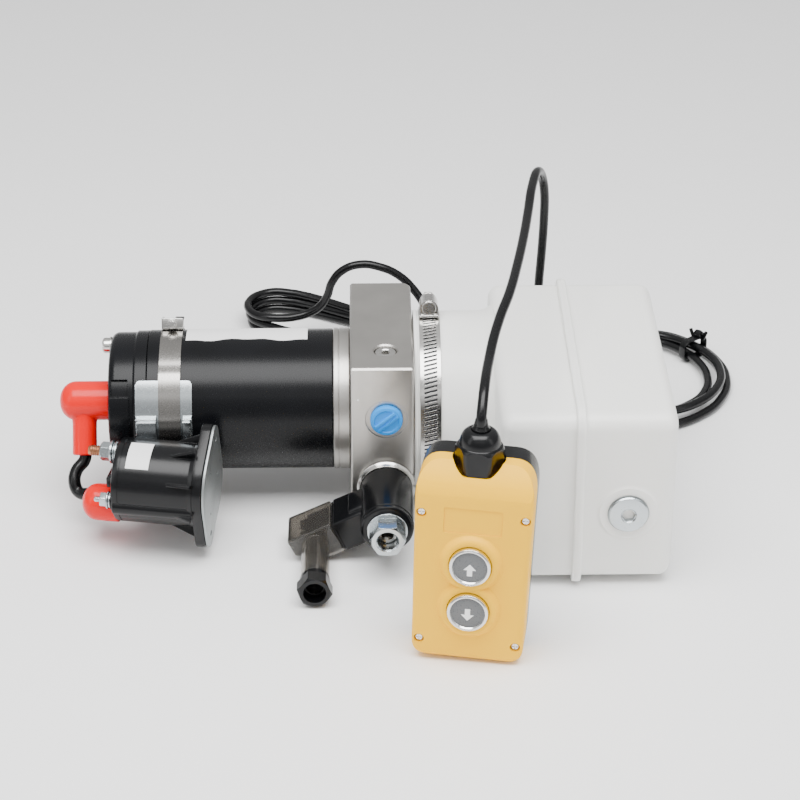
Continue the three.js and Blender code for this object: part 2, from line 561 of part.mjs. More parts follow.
function dome(radius, from, length, axis) {
  const tip = from + length;
  return turned([[0, from], [radius, from], [radius, tip - radius * 0.75],
    [radius * 0.92, tip - radius * 0.4],
    [radius * 0.68, tip - radius * 0.13], [radius * 0.34, tip], [0, tip]], axis, 18);
}

function leg(start, direction, length, radius) {
  const geometry = rod(radius, 0, length, "y", 22);
  const turn = new THREE.Quaternion().setFromUnitVectors(new THREE.Vector3(0, 1, 0),
    direction.clone().normalize());
  return geometry.applyQuaternion(turn).translate(...start);
}

function jumper() {
  const motorStart = [MOTOR.capFace - GAP, ...MOTOR_STUD];
  const motorDome = dome(BOOT.radius, 0, 40, "x").rotateZ(180 * DEG).translate(...motorStart);
  const motorElbow = [-249.5, ...MOTOR_STUD];
  const down = new THREE.Vector3(0, -0.5, -0.87);
  const legLength = 43;
  add("boot_motor", cut(join(motorDome, leg(motorElbow, down, legLength, BOOT.legRadius)),
    rod(4.5, MOTOR.capFace - 20, MOTOR.capFace, "x", SMALL).translate(0, ...MOTOR_STUD)), "redRubber");

  const end = -RELAY.bodyLength;
  const relayDome = dome(BOOT.radius - 1, 0, 30, "x").rotateZ(180 * DEG)
    .translate(end - GAP, STUDS.boot.y, STUDS.boot.z - 2).applyMatrix4(relay.matrixWorld);
  const relayElbow = placed(relay, end - 15, STUDS.boot.y, STUDS.boot.z - 2);
  const back = new THREE.Vector3(-0.45, 0.87, -0.2);
  const shortLeg = 18;
  const studHole = rod(4.5, end - 20, end + 1, "x", SMALL).translate(0, STUDS.boot.y, STUDS.boot.z);
  const keep = box(end - 14, end + 20, STUDS.coil.y - 9, STUDS.coil.y + 7.3, STUDS.coil.z - 7.4,
    STUDS.coil.z + 8);
  const keepWall = box(end - 9, end + 1, -12, 10, -3, 7);
  const tools = [studHole, keep, keepWall].map((tool) => tool.applyMatrix4(relay.matrixWorld));
  add("boot_relay", cut(join(relayDome, leg(relayElbow, back, shortLeg, BOOT.legRadius - 2)), ...tools),
    "redRubber");

  const along = (start, direction, distance) => start.map((value, i) => value
    + direction.clone().normalize().toArray()[i] * distance);
  const upper = along(motorElbow, down, legLength + GAP);
  const lower = along(relayElbow, back, shortLeg + GAP);
  const route = [upper, along(upper, down, 3), [-256, -47, -37.5], [-257.5, -53, -44], [-254, -58, -50.5],
    along(lower, back, 4), lower];
  add("jumper_cable", tube(route, CABLE_R, 12, 8), "blackRubber");
}

// ---------------------------------------------------------------- tank
const DRAIN = { x: 168, z: -12, hole: 9.5 };
const BREATHER = { x: 168, z: 0, hole: 9.5 };

function tank() {
  const { x0, x1, y0, y1, z0, z1, corner, seamX, seamWidth, seamProud } = TANK;
  const wall = NECK.wall;
  const shell = plateAcrossX(roundedOutline(y0, y1, z0, z1, corner), x0, x1, 9, 3, 2);
  const neck = ring(20, NECK.radius, NECK.x0, x0 + 12, "x", ROUND, 0.8);
  const seam = plateAcrossX(roundedOutline(y0 - seamProud, y1 + seamProud, z0 - seamProud, z1 + seamProud,
    corner + seamProud), seamX - seamWidth / 2, seamX + seamWidth / 2, 1, 3);
  const drainBoss = rod(22, -y0 - 4, -y0 + 1.4, "front", 20).translate(DRAIN.x, 0, DRAIN.z);
  const hollow = plateAcrossX(roundedOutline(y0 + wall, y1 - wall, z0 + wall, z1 - wall, corner - wall),
    x0 + wall, x1 - wall, 6, 3, 1);
  const bore = rod(NECK.inner, NECK.x0 - 1, x0 + 14, "x", ROUND);
  const boreClipped = common(bore, box(NECK.x0 - 2, x0 + 13, -80, y1 - wall, z0 + wall, z1 - wall));
  const drainHole = rod(DRAIN.hole, -y0 - 20, -y0 + 5, "front", 20).translate(DRAIN.x, 0, DRAIN.z);
  const breatherHole = rod(BREATHER.hole, y1 - 20, y1 + 5, "y", 16).translate(BREATHER.x, 0, BREATHER.z);
  const bodyShell = cut(join(shell, seam, drainBoss, neck), hollow,
    rod(NECK.inner, NECK.x0 - 1, x0 - 2, "x", ROUND), boreClipped, drainHole, breatherHole);
  add("oil_tank", bodyShell, "tankPlastic");

  const seat = -y0 + 1.4 + GAP;
  const plug = turned([[0, seat - 14], [8.6, seat - 14], [9.1, seat - 12], [9.1, seat], [15, seat],
    [15, seat + 2.2],
    [13.6, seat + 3.6], [0, seat + 3.6]], "front", 20);
  const socket = hexagon(12, seat - 6, seat + 5, "front");
  add("drain_plug", cut(plug, socket).translate(DRAIN.x, 0, DRAIN.z), "zinc");

  const capSeat = y1 + GAP;
  const breather = turned([[0, capSeat - 12], [9, capSeat - 12], [9, capSeat], [19, capSeat],
    [20, capSeat + 1.5],
    [20, capSeat + 13], [17.5, capSeat + 15.5], [0, capSeat + 15.5]], "y", 20);
  add("breather_cap", breather.translate(BREATHER.x, 0, BREATHER.z), "blackPlastic");
}

function hoseClamp() {
  const inner = NECK.radius + GAP;
  const outer = inner + 1.1;
  const [x0, x1] = [14.7, 31];
  add("clamp_band", ring(inner, outer, x0, x1, "x", ROUND), "steel");
  const seat = outer + GAP;
  const middle = (x0 + x1) / 2;
  const saddle = box(x0 + 0.5, x1 - 0.5, -13, 11, seat, seat + 2);
  const barrel = rod(6.2, -11, 12, "y", 14).translate(middle, 0, seat + 7);
  const head = hexagon(10, 11, 18, "y").translate(middle, 0, seat + 7);
  const slot = box(middle - 6, middle + 6, 16.2, 19, seat + 6.3, seat + 7.7);
  add("clamp_screw", cut(join(saddle, barrel, head), slot).rotateX(-10 * DEG), "steel");
}

// ---------------------------------------------------------------- pendant
// The pendant's own frame: Z up its height, -Y towards the buttons, origin under its middle.
const SPLIT_Y = 3; // plane between the yellow front and the black back
const CREASE = 131; // height where the front starts to slope back
const GLAND = { flats: 32, start: 145.5, hexEnd: 165, top: 176, pocket: 19.4 };

function pendantOutline(inset) {
  const { height, topWidth, bottomWidth } = PENDANT;
  const [top, low] = [topWidth / 2 - inset, bottomWidth / 2 - inset];
  const shape = new THREE.Shape();
  shape.moveTo(-low + 10, inset);
  shape.lineTo(low - 10, inset);
  shape.quadraticCurveTo(low, inset, low + 0.4, inset + 11);
  shape.lineTo(top, height - 24);
  shape.quadraticCurveTo(top, height - inset, top - 17, height - inset);
  shape.lineTo(-top + 17, height - inset);
  shape.quadraticCurveTo(-top, height - inset, -top, height - 24);
  shape.lineTo(-low - 0.4, inset + 11);
  shape.quadraticCurveTo(-low, inset, -low + 10, inset);
  return shape;
}

// A pendant slab standing up, from front y0 to back y1.
function slab(inset, y0, y1, bevel = 0) {
  return plate(pendantOutline(inset), 0, y1 - y0, bevel, 4, 1).rotateX(90 * DEG).translate(0, y1, 0);
}

function sideProfile(points) {
  const shape = new THREE.Shape(points.map(([y, z]) => new THREE.Vector2(y, z)));
  return plateAcrossX(shape, -60, 60);
}

function pendantShells() {
  const front = -PENDANT.depth / 2;
  const back = PENDANT.depth / 2;
  const wall = 2.6;
  const { height } = PENDANT;
  const frontSide = sideProfile([[front, -1], [front, CREASE], [front + 2.5, CREASE + 9],
    [front + 8, CREASE + 17], [front + 17, height + 1], [SPLIT_Y, height + 1], [SPLIT_Y, -1]]);
  const hollowSide = sideProfile([[front + wall, 0], [front + wall, CREASE - 1], [front + 20, height - 1],
    [SPLIT_Y + 1, height - 1], [SPLIT_Y + 1, 0]]);
  const body = common(slab(0, front, SPLIT_Y + 4, 3.5), frontSide);
  const hollow = common(slab(wall, front + wall, SPLIT_Y + 4), hollowSide);
  const rows = [BUTTON.upper, BUTTON.lower];
  const collarProfile = [[0, -front - 2], [23, -front - 1], [20.5, -front + 3], [18.5, -front + 4.4],
    [0, -front + 4.4]];
  const collars = rows.map((z) => turned(collarProfile, "front", 20).translate(0, 0, z));
  const holes = rows.map((z) => rod(BUTTON.radius + 0.4, 10, 40, "front", 20).translate(0, 0, z));
  const labelRecess = box(-20.8, 20.8, front - 1, front + 0.7, 104, 124);
  const pocket = rod(GLAND.pocket, GLAND.start - GAP, 175, "z", 20);
  const stemHole = rod(11.5, 120, 150, "z", 20);
  const screws = [[-37.5, 118], [37.5, 118], [-35, 14], [35, 14]];
  const screwWells = screws.map(([x, z]) => rod(3.6, 20, 26, "front", 16).translate(x, 0, z));
  add("pendant_front", cut(join(body, ...collars), hollow, ...holes, labelRecess, pocket, stemHole,
    ...screwWells),
    "yellowPlastic", pendant);

  const backSlab = common(slab(0, SPLIT_Y - 4, back, 3.5), box(-60, 60, SPLIT_Y + GAP, back + 1, -1, 200));
  const backHollow = slab(wall, SPLIT_Y - 4, back - wall);
  add("pendant_back", cut(backSlab, backHollow, pocket, stemHole), "blackPlastic", pendant);
}

function pendantParts() {
  const front = -PENDANT.depth / 2;
  const proud = -front + 7.6;
  [["button_up", BUTTON.upper], ["button_down", BUTTON.lower]].forEach(([name, z]) => {
    const { radius } = BUTTON;
    const cap = turned([[0, 12], [5, 12], [5, 18], [radius, 18], [radius, proud - 1.6], [radius - 1.4, proud],
      [radius - 3, proud], [radius - 3.4, proud - 1], [0, proud - 1]], "front", 20);
    add(name, cap.translate(0, 0, z), "greyPlastic", pendant);
  });
  add("switch_block", box(-21, 21, -7.2, 12, 14, 105), "blackPlastic", pendant);

  const { flats, start, hexEnd, top } = GLAND;
  const nut = join(hexagon(flats, start, hexEnd - 2, "z", 0),
    turned([[0, start + 1], [15.6, start + 1], [15.6, hexEnd - 1], [14.4, hexEnd], [14.2, hexEnd + 3],
      [12.8, top - 4],
      [10, top - 0.8], [8, top], [0, top]], "z", 20));
  const bore = rod(CORD_R + 0.5, start - 1, top + 1, "z", 20);
  add("pendant_gland_nut", cut(nut, bore), "blackPlastic", pendant);
  add("pendant_gland", cut(join(rod(10.8, 127, start - GAP, "z", 20), rod(14, 127, 132, "z", 20)),
    rod(CORD_R + 0.5, 120, 160, "z", 20)), "blackPlastic", pendant);
}

// The leaning pendant stands on its lowest edge.
function standPendant() {
  const extent = new THREE.Box3().setFromObject(pendant, true);
  pendant.position.z += FLOOR - extent.min.z;
  pendant.updateMatrixWorld(true);
}

// ---------------------------------------------------------------- cord
// Heights in these routes are above the ground.
const above = (x, y, height) => [x, y, FLOOR + height];
const HANK = { left: [-107, 276, 29.75], right: [203, 157, 88], height: 22 };

function cord() {
  const exit = placed(pendant, 0, 0, GLAND.top + GAP);
  const exitAbove = placed(pendant, 0, 0, GLAND.top + 14);
  const arch = [exit, exitAbove, above(62.6, -160, 206.6), above(70.6, -125, 214), above(79.3, -95, 219.5),
    above(87, -58, 223.5), above(95, -12, 227.6), above(99.8, 20, 231), above(105, 55, 236.5),
    above(111, 84, 236),
    above(116.5, 104, 223), above(119.5, 111, 205), above(120, 114, 182), above(119, 115, 150),
    above(117.5, 116, 120),
    above(117, 117, 90), above(117.5, 121, 60), above(122, 133, 38), above(138, 152, HANK.height + 6)];
  add("cord_arch", tube(arch, CORD_R, 30, 8), "blackRubber");

  const [[lx, ly, lr], [rx, ry, rr]] = [HANK.left, HANK.right];
  const hank = plate(beltOutline(lx, ly, lr, rx, ry, rr), FLOOR, FLOOR + HANK.height, 2, 6);
  add("cord_hank", hank, "blackRubber");

  const tail = [above(-64.5, 252, HANK.height + 5.5), above(-60.5, 250, 38), above(-58, 249, 48),
    above(-55, 249, 58), above(-46, 249, 68), above(-31, 249, 73), above(-14, 249, 70.5), above(3, 249, 62),
    above(17.7, 247, 47), above(28, 236, 34), above(34, 216, 29), above(36, 195, 28), above(37, 160, 27.5),
    above(36.5, 140, 19), above(33, 125, 8), above(21, 112, 4.2), above(-5, 100, 4.2), above(-35, 97, 4.2)];
  add("cord_tail", tube(tail, CORD_R, 28, 8), "blackRubber");

  const [endX, endY, endZ] = tail[tail.length - 1];
  const sleeve = rod(4.1, 0, 18, "x", 10);
  const fingers = [-14, 0, 14].map((angle) => join(rod(1.5, 0, 26, "x", 6), ring(2.6, 4.8, -0.8, 0.8, "z", 8)
    .translate(29, 0, 0)).rotateZ(angle * DEG).translate(16, 0, 0));
  const lugs = join(sleeve, ...fingers).rotateZ(180 * DEG);
  add("cord_terminals", lugs.translate(endX - 3 * GAP, endY, endZ + 0.2), "copper");
}

// ---------------------------------------------------------------- assembly
motorShell();
throughBolts();
armature();
stator();
motorLabel();
manifoldBlock();
pump();
blockFittings();
solenoidValve();
plugConnector();
startRelay();
saddleAndStrap();
jumper();
tank();
hoseClamp();
pendantShells();
pendantParts();
standPendant();
cord();

// The origin is under the middle of everything but the cord.
const extent = new THREE.Box3();
whole.updateMatrixWorld(true);
whole.traverse((piece) => {
  if (piece.isMesh && !piece.name.startsWith("cord_")) extent.expandByObject(piece, true);
});
const middle = extent.getCenter(new THREE.Vector3());
whole.position.set(-middle.x, -middle.y, -extent.min.z);

export default whole;
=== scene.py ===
"""Looks for the hydraulic power unit: camera, cord, fine visual pieces, materials, floor and light.

Shapes are written in millimetres in a working frame: X along the motor axis towards the tank,
Y away from the camera, Z = 0 on the motor axis. ORIGIN puts that frame into the row frame.
"""
import json
import math

import bmesh
import bpy
from mathutils import Matrix, Vector


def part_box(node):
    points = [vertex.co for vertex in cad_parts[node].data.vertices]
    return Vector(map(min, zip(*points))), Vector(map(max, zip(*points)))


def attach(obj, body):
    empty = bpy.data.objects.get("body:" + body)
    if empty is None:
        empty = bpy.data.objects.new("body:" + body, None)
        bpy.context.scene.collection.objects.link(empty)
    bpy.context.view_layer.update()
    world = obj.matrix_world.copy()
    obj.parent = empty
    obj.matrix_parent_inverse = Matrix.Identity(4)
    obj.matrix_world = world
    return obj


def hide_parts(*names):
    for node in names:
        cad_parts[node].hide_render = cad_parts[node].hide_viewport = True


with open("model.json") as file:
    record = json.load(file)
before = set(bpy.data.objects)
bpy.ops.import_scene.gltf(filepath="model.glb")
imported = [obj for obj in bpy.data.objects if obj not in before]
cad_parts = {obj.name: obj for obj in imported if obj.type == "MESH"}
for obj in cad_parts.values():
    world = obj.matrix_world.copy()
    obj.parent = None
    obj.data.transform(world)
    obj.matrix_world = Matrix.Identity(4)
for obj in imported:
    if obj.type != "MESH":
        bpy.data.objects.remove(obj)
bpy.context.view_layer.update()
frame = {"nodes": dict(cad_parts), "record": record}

# ---------------------------------------------------------------- the shared frame
MM = 0.001
BLOCK_CORNER = Vector((-39.5, -73.0, -78.0))  # low corner of the manifold block, working frame
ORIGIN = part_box("manifold_block")[0] - BLOCK_CORNER * MM
FLOOR = -78.0
UNIT = Matrix.Translation(ORIGIN) @ Matrix.Scale(MM, 4)


def row(x, y, z):
    return UNIT @ Vector((x, y, z))


def middle(node):
    low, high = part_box(node)
    return (low + high) / 2


def turn(degrees, axis):
    return Matrix.Rotation(math.radians(degrees), 4, axis)


def group_at(node, node_centre, rotation):
    """Where a turned group stands, from one of its nodes whose centre in the group is known."""
    offset = rotation @ (Vector(node_centre) * MM)
    return Matrix.Translation(middle(node) - offset) @ rotation @ Matrix.Scale(MM, 4)


RELAY_END = -63.0
RELAY = group_at("relay_stud", (RELAY_END - 6.75, 4, 21), turn(-10, "Z"))
PENDANT_TURN = turn(-9, "Z") @ turn(1.5, "Y") @ turn(-3, "X")
PENDANT = group_at("switch_block", (0, 2.4, 59.5), PENDANT_TURN)
VALVE_X, VALVE_Z, VALVE_TILT = -12.0, -37.8, 25.5
VALVE = UNIT @ Matrix.Translation((VALVE_X, 0, VALVE_Z))
CONNECTOR = VALVE @ turn(-VALVE_TILT, "Y")

# ---------------------------------------------------------------- camera
ELEVATION, YAW = 29.5, -1.0
DISTANCE = 2.0
LENS, SENSOR = 112.5, 36.0


def camera():
    data = bpy.data.cameras.new("camera")
    data.lens, data.sensor_width = LENS, SENSOR
    obj = bpy.data.objects.new("camera", data)
    bpy.context.scene.collection.objects.link(obj)
    elevation, yaw = math.radians(ELEVATION), math.radians(YAW)
    back = Vector((math.sin(yaw) * math.cos(elevation), -math.cos(yaw) * math.cos(elevation),
                   math.sin(elevation)))
    obj.location = row(0, 0, -2.6) + back * DISTANCE
    obj.rotation_euler = (-back).to_track_quat("-Z", "Y").to_euler()
    bpy.context.scene.camera = obj


camera()

# ---------------------------------------------------------------- materials


class Finish:
    """Builds one procedural material: grain in colour and roughness, a fine bump, softened edges."""

    def __init__(self, name):
        self.material = bpy.data.materials.new(name)
        self.material.use_nodes = True
        self.tree = self.material.node_tree
        self.shader = self.tree.nodes["Principled BSDF"]
        coordinates = self.tree.nodes.new("ShaderNodeTexCoord")
        self.mapping = self.tree.nodes.new("ShaderNodeMapping")
        self.link(coordinates.outputs["Object"], self.mapping.inputs["Vector"])

    def link(self, output, target):
        self.tree.links.new(output, target)

    def noise(self, scale, detail=3.0):
        node = self.tree.nodes.new("ShaderNodeTexNoise")
        node.inputs["Scale"].default_value = scale
        node.inputs["Detail"].default_value = detail
        self.link(self.mapping.outputs["Vector"], node.inputs["Vector"])
        return node.outputs["Fac"]

    def spread(self, value, low, high):
        node = self.tree.nodes.new("ShaderNodeMapRange")
        node.inputs["From Min"].default_value = 0.3
        node.inputs["From Max"].default_value = 0.7
        node.inputs["To Min"].default_value = low
        node.inputs["To Max"].default_value = high
        self.link(value, node.inputs["Value"])
        return node.outputs["Result"]

    def colours(self, value, dark, light):
        node = self.tree.nodes.new("ShaderNodeValToRGB")
        node.color_ramp.elements[0].position = 0.3
        node.color_ramp.elements[1].position = 0.7
        node.color_ramp.elements[0].color = (*dark, 1)
        node.color_ramp.elements[1].color = (*light, 1)
        self.link(value, node.inputs["Fac"])
        self.link(node.outputs["Color"], self.shader.inputs["Base Color"])

    def surface(self, value, height, edge):
        bump = self.tree.nodes.new("ShaderNodeBump")
        bump.inputs["Distance"].default_value = height
        self.link(value, bump.inputs["Height"])
        if edge > 0:
            soft = self.tree.nodes.new("ShaderNodeBevel")
            soft.samples = 4
            soft.inputs["Radius"].default_value = edge
            self.link(soft.outputs["Normal"], bump.inputs["Normal"])
        self.link(bump.outputs["Normal"], self.shader.inputs["Normal"])

    def put(self, **values):
        for name, value in values.items():
            self.shader.inputs[name.replace("_", " ")].default_value = value


def finish(name, colour, rough, metal=0.0, grain=900.0, stretch=(1, 1, 1), wobble=0.06,
           rough_wobble=0.05, height=0.00003, edge=0.0004, **more):
    made = Finish(name)
    made.mapping.inputs["Scale"].default_value = stretch
    fine = made.noise(grain)
    broad = made.noise(grain / 30.0, 2.0)
    dark = tuple(channel * (1 - wobble) for channel in colour)
    light = tuple(min(1.0, channel * (1 + wobble)) for channel in colour)
    made.colours(broad, dark, light)
    rough_value = made.spread(fine, rough - rough_wobble, rough + rough_wobble)
    made.link(rough_value, made.shader.inputs["Roughness"])
    made.surface(fine, height, edge)
    made.put(Metallic=metal, **more)
    return made.material


TURNED = (0.25, 3, 3)
MATERIALS = {
    "black_paint": finish("black paint", (0.003, 0.0033, 0.0042), 0.27, wobble=0.2, height=0.000006,
                          rough_wobble=0.015, Specular_IOR_Level=0.2),
    "black_plastic": finish("black plastic", (0.0028, 0.003, 0.0036), 0.24, wobble=0.2, grain=1400,
                            rough_wobble=0.02, height=0.000004, Specular_IOR_Level=0.3),
    "aluminium": finish("machined aluminium", (0.47, 0.455, 0.43), 0.34, 0.97, grain=1200,
                        stretch=(1, 1, 0.12), height=0.00002, edge=0.0006),
    "steel": finish("bright steel", (0.6, 0.59, 0.57), 0.2, 1.0, grain=1000, stretch=TURNED, height=0.00001),
    "zinc": finish("zinc plate", (0.5, 0.54, 0.56), 0.25, 1.0, grain=500, wobble=0.05, rough_wobble=0.03,
                   height=0.000006),
    "copper": finish("copper", (0.42, 0.2, 0.11), 0.35, 1.0),
    "bronze": finish("bronze", (0.5, 0.34, 0.14), 0.4, 1.0),
    "tank_plastic": finish("milky plastic", (0.86, 0.86, 0.83), 0.36, grain=260, wobble=0.012,
                           height=0.00004, edge=0, Subsurface_Weight=0.5, Subsurface_Scale=0.004,
                           Subsurface_Radius=(1, 1, 1)),
    "clear_plastic": finish("smoky clear plastic", (0.36, 0.34, 0.31), 0.07, rough_wobble=0.03,
                            height=0.00001, Transmission_Weight=0.94, IOR=1.45),
    "red_rubber": finish("red rubber", (0.75, 0.0, 0.0), 0.22, wobble=0.03, edge=0,
                         height=0.000004, Specular_IOR_Level=0.25),
    "blue_plastic": finish("blue plastic", (0.005, 0.27, 0.78), 0.3, Specular_IOR_Level=0.25),
    "yellow_plastic": finish("yellow plastic", (1.0, 0.53, 0.0), 0.45, grain=2200, wobble=0.01,
                             height=0.00001, edge=0.0006, Specular_IOR_Level=0.2),
    "grey_plastic": finish("grey plastic", (0.11, 0.115, 0.12), 0.3, wobble=0.03, height=0.000006),
    "paper": finish("white sticker", (0.84, 0.84, 0.84), 0.42, wobble=0.02),
    "black_rubber": finish("black rubber", (0.0025, 0.0026, 0.003), 0.24, wobble=0.1, edge=0,
                           height=0.000004, Specular_IOR_Level=0.3),
}
EXTRA = {
    "silver": finish("silver bezel", (0.7, 0.7, 0.69), 0.18, 1.0),
    "white": finish("white mark", (0.9, 0.9, 0.9), 0.4, wobble=0.01),
    # painted shade: near-black steel that stands for the shade seen through the clamp band's slots and
    # inside the strap's curled end
    "painted_shade_steel": finish("painted shade steel", (0.05, 0.05, 0.052), 0.3, 0.6),
    "strap": finish("strap steel", (0.3, 0.29, 0.275), 0.24, 1.0, grain=1000, height=0.000004),
    "dark_zinc": finish("dark zinc", (0.3, 0.32, 0.32), 0.4, 0.9, grain=500, wobble=0.1),
}


def paint(obj, material):
    obj.data.materials.clear()
    obj.data.materials.append(material)


for entry in frame["record"]["subparts"]:
    paint(frame["nodes"][entry["node"]], MATERIALS[entry["material_slot"]])

# ---------------------------------------------------------------- shapes
SHARP = math.radians(32)
AXES = {
    "x": lambda along, u, v: (along, u, v),
    "y": lambda along, u, v: (u, along, v),
    "z": lambda along, u, v: (u, v, along),
    "front": lambda along, u, v: (u, -along, v),
}


def moved(shape, x=0.0, y=0.0, z=0.0):
    shape.transform(Matrix.Translation((x, y, z)))
    return shape


def turned_by(shape, degrees, axis):
    shape.transform(turn(degrees, axis))
    return shape


def faced(shape):
    """Turns every face outward."""
    bmesh.ops.recalc_face_normals(shape, faces=shape.faces)
    return shape


def join_loops(shape, loops):
    """Quads from each closed loop of points to the next."""
    for low, high in zip(loops, loops[1:]):
        for i in range(len(low)):
            j = (i + 1) % len(low)
            shape.faces.new([low[i], low[j], high[j], high[i]])


def turned(profile, axis="x", sides=96):
    """A solid of revolution from [radius, distance along the axis] points."""
    shape = bmesh.new()
    lift = AXES[axis]
    rings = []
    for radius, along in profile:
        if radius < 1e-6:
            rings.append([shape.verts.new(lift(along, 0, 0))])
            continue
        angles = [2 * math.pi * i / sides for i in range(sides)]
        rings.append([shape.verts.new(lift(along, radius * math.cos(a), radius * math.sin(a)))
                      for a in angles])
    closed = rings if profile[0][0] < 1e-6 else rings + [rings[0]]
    for low, high in zip(closed, closed[1:]):
        for i in range(sides):
            j = (i + 1) % sides
            corners = [low[i % len(low)], low[j % len(low)], high[j % len(high)], high[i % len(high)]]
            corners = list(dict.fromkeys(corners))
            if len(corners) > 2:
                shape.faces.new(corners)
    return faced(shape)


def rim(radius, low, high, chamfer):
    """The outer edge of a rod's or a ring's profile."""
    if not chamfer:
        return [[radius, low], [radius, high]]
    return [[radius - chamfer, low], [radius, low + chamfer],
            [radius, high - chamfer], [radius - chamfer, high]]


def rod(radius, low, high, axis="x", sides=64, chamfer=0.0):
    return turned([[0, low], *rim(radius, low, high, chamfer), [0, high]], axis, sides)


def ring(inner, outer, low, high, axis="x", sides=96, chamfer=0.0):
    return turned([[inner, low], *rim(outer, low, high, chamfer), [inner, high]], axis, sides)


def soften(shape, width, segments=3, angle=25):
    if width > 0:
        edges = [edge for edge in shape.edges
                 if len(edge.link_faces) == 2 and edge.calc_face_angle(0) > math.radians(angle)]
        bmesh.ops.bevel(shape, geom=edges, offset=width, segments=segments, profile=0.5,
                        affect="EDGES", clamp_overlap=True)
    return shape


def prism(outline, low, high, axis="z", bevel=0.0, segments=3):
    """An outline in the plane across the axis, made into a plate between low and high."""
    shape = bmesh.new()
    lift = AXES[axis]
    bottom = [shape.verts.new(lift(low, u, v)) for u, v in outline]
    top = [shape.verts.new(lift(high, u, v)) for u, v in outline]
    shape.faces.new(bottom)
    shape.faces.new(top)
    join_loops(shape, [bottom, top])
    return soften(faced(shape), bevel, segments)


def cuboid(x0, x1, y0, y1, z0, z1, bevel=0.0, segments=3):
    return prism([(x0, y0), (x1, y0), (x1, y1), (x0, y1)], z0, z1, "z", bevel, segments)


def hexagon(across_flats, low, high, axis="x", turned_to=0.0, bevel=0.0):
    radius = across_flats / math.sqrt(3)
    corners = [math.radians(turned_to + 60 * i) for i in range(6)]
    return prism([(radius * math.cos(a), radius * math.sin(a)) for a in corners], low, high, axis, bevel)


def arc(cx, cy, radius, start, end, steps=12):
    angles = [math.radians(start + (end - start) * i / steps) for i in range(steps + 1)]
    return [(cx + radius * math.cos(a), cy + radius * math.sin(a)) for a in angles]


def rounded_box(u0, u1, v0, v1, radius, steps=8):
    return (arc(u1 - radius, v1 - radius, radius, 0, 90, steps)
            + arc(u0 + radius, v1 - radius, radius, 90, 180, steps)
            + arc(u0 + radius, v0 + radius, radius, 180, 270, steps)
            + arc(u1 - radius, v0 + radius, radius, 270, 360, steps))


def wrapped(inner, outer, stations, steps=48):
    """A sheet wrapped round the X axis. stations: (x, low angle, high angle), angles from -Y upward."""
    shape = bmesh.new()
    layers = []
    for radius in (inner, outer):
        grid = []
        for x, low, high in stations:
            line = []
            for i in range(steps + 1):
                angle = math.radians(low + (high - low) * i / steps)
                line.append(shape.verts.new((x, -radius * math.cos(angle), radius * math.sin(angle))))
            grid.append(line)
        layers.append(grid)
    columns = len(stations)
    for grid in layers:
        for a in range(columns - 1):
            for b in range(steps):
                shape.faces.new([grid[a][b], grid[a + 1][b], grid[a + 1][b + 1], grid[a][b + 1]])
    below, above = layers
    for a in range(columns - 1):
        for b in (0, steps):
            shape.faces.new([below[a][b], below[a + 1][b], above[a + 1][b], above[a][b]])
    for a in (0, columns - 1):
        for b in range(steps):
            shape.faces.new([below[a][b], below[a][b + 1], above[a][b + 1], above[a][b]])
    return faced(shape)


def sector(inner, outer, low, high, x0, x1, steps=48):
    return wrapped(inner, outer, [(x0, low, high), (x1, low, high)], steps)


def merge(*shapes):
    """Several closed shapes as one piece; they may run into each other."""
    whole = bmesh.new()
    for shape in shapes:
        mesh = bpy.data.meshes.new("part")
        shape.to_mesh(mesh)
        whole.from_mesh(mesh)
        shape.free()
        bpy.data.meshes.remove(mesh)
    return whole


def as_object(shape):
    mesh = bpy.data.meshes.new("solid")
    shape.to_mesh(mesh)
    shape.free()
    obj = bpy.data.objects.new("solid", mesh)
    bpy.context.scene.collection.objects.link(obj)
    return obj


def combine(shape, tools, operation="DIFFERENCE"):
    base = as_object(shape)
    others = [as_object(tool) for tool in tools]
    for other in others:
        modifier = base.modifiers.new("combine", "BOOLEAN")
        modifier.operation = operation
        modifier.solver = "EXACT"
        modifier.object = other
    bpy.context.view_layer.update()
    evaluated = base.evaluated_get(bpy.context.evaluated_depsgraph_get())
    result = bmesh.new()
    result.from_mesh(evaluated.to_mesh())
    for obj in [base, *others]:
        mesh = obj.data
        bpy.data.objects.remove(obj)
        bpy.data.meshes.remove(mesh)
    return result


def cut(shape, *tools):
    return combine(shape, tools)


def piece(name, shape, slot, nodes=(), body="unit", place=UNIT, material=None):
    """Turns a shape into a finished object that rides on a CAD body and stands for CAD nodes."""
    mesh = bpy.data.meshes.new(name)
    shape.to_mesh(mesh)
    shape.free()
    mesh.transform(place)
    mesh.polygons.foreach_set("use_smooth", [True] * len(mesh.polygons))
    mesh.set_sharp_from_angle(angle=SHARP)
    obj = bpy.data.objects.new(name, mesh)
    bpy.context.scene.collection.objects.link(obj)
    mesh.materials.append(material or MATERIALS[slot])
    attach(obj, body)
    if nodes:
        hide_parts(*nodes)
    return obj


# ---------------------------------------------------------------- cord
CORD_D = 7.5
GLAND_TOP = 176.0
HANK_RIGHT = (203.0, 157.0)
HANK_LEFT = (-107.0, 276.0)
LEFT_R, RIGHT_R = 23.0, 84.0
TURNS = 3
RIGHT_STEPS = (0.0, 8.5, 15.0)  # how far inside the first turn each turn runs at the right
LEFT_STEPS = (0.0, 1.5, 3.0)  # how far outside the first turn each turn runs at the left
TURN_HEIGHTS = (4.2, 11.8, 8.0)
FAR_BOW = 35.0
NEAR_BOW = 4.0


def crossing(start, end, bow):
    """Two points between start and end, pushed along Y by up to bow."""
    points = []
    for share in (0.33, 0.66):
        x, y, z = (a + (b - a) * share for a, b in zip(start, end))
        points.append((x, y + bow * math.sin(math.pi * share), z))
    return points


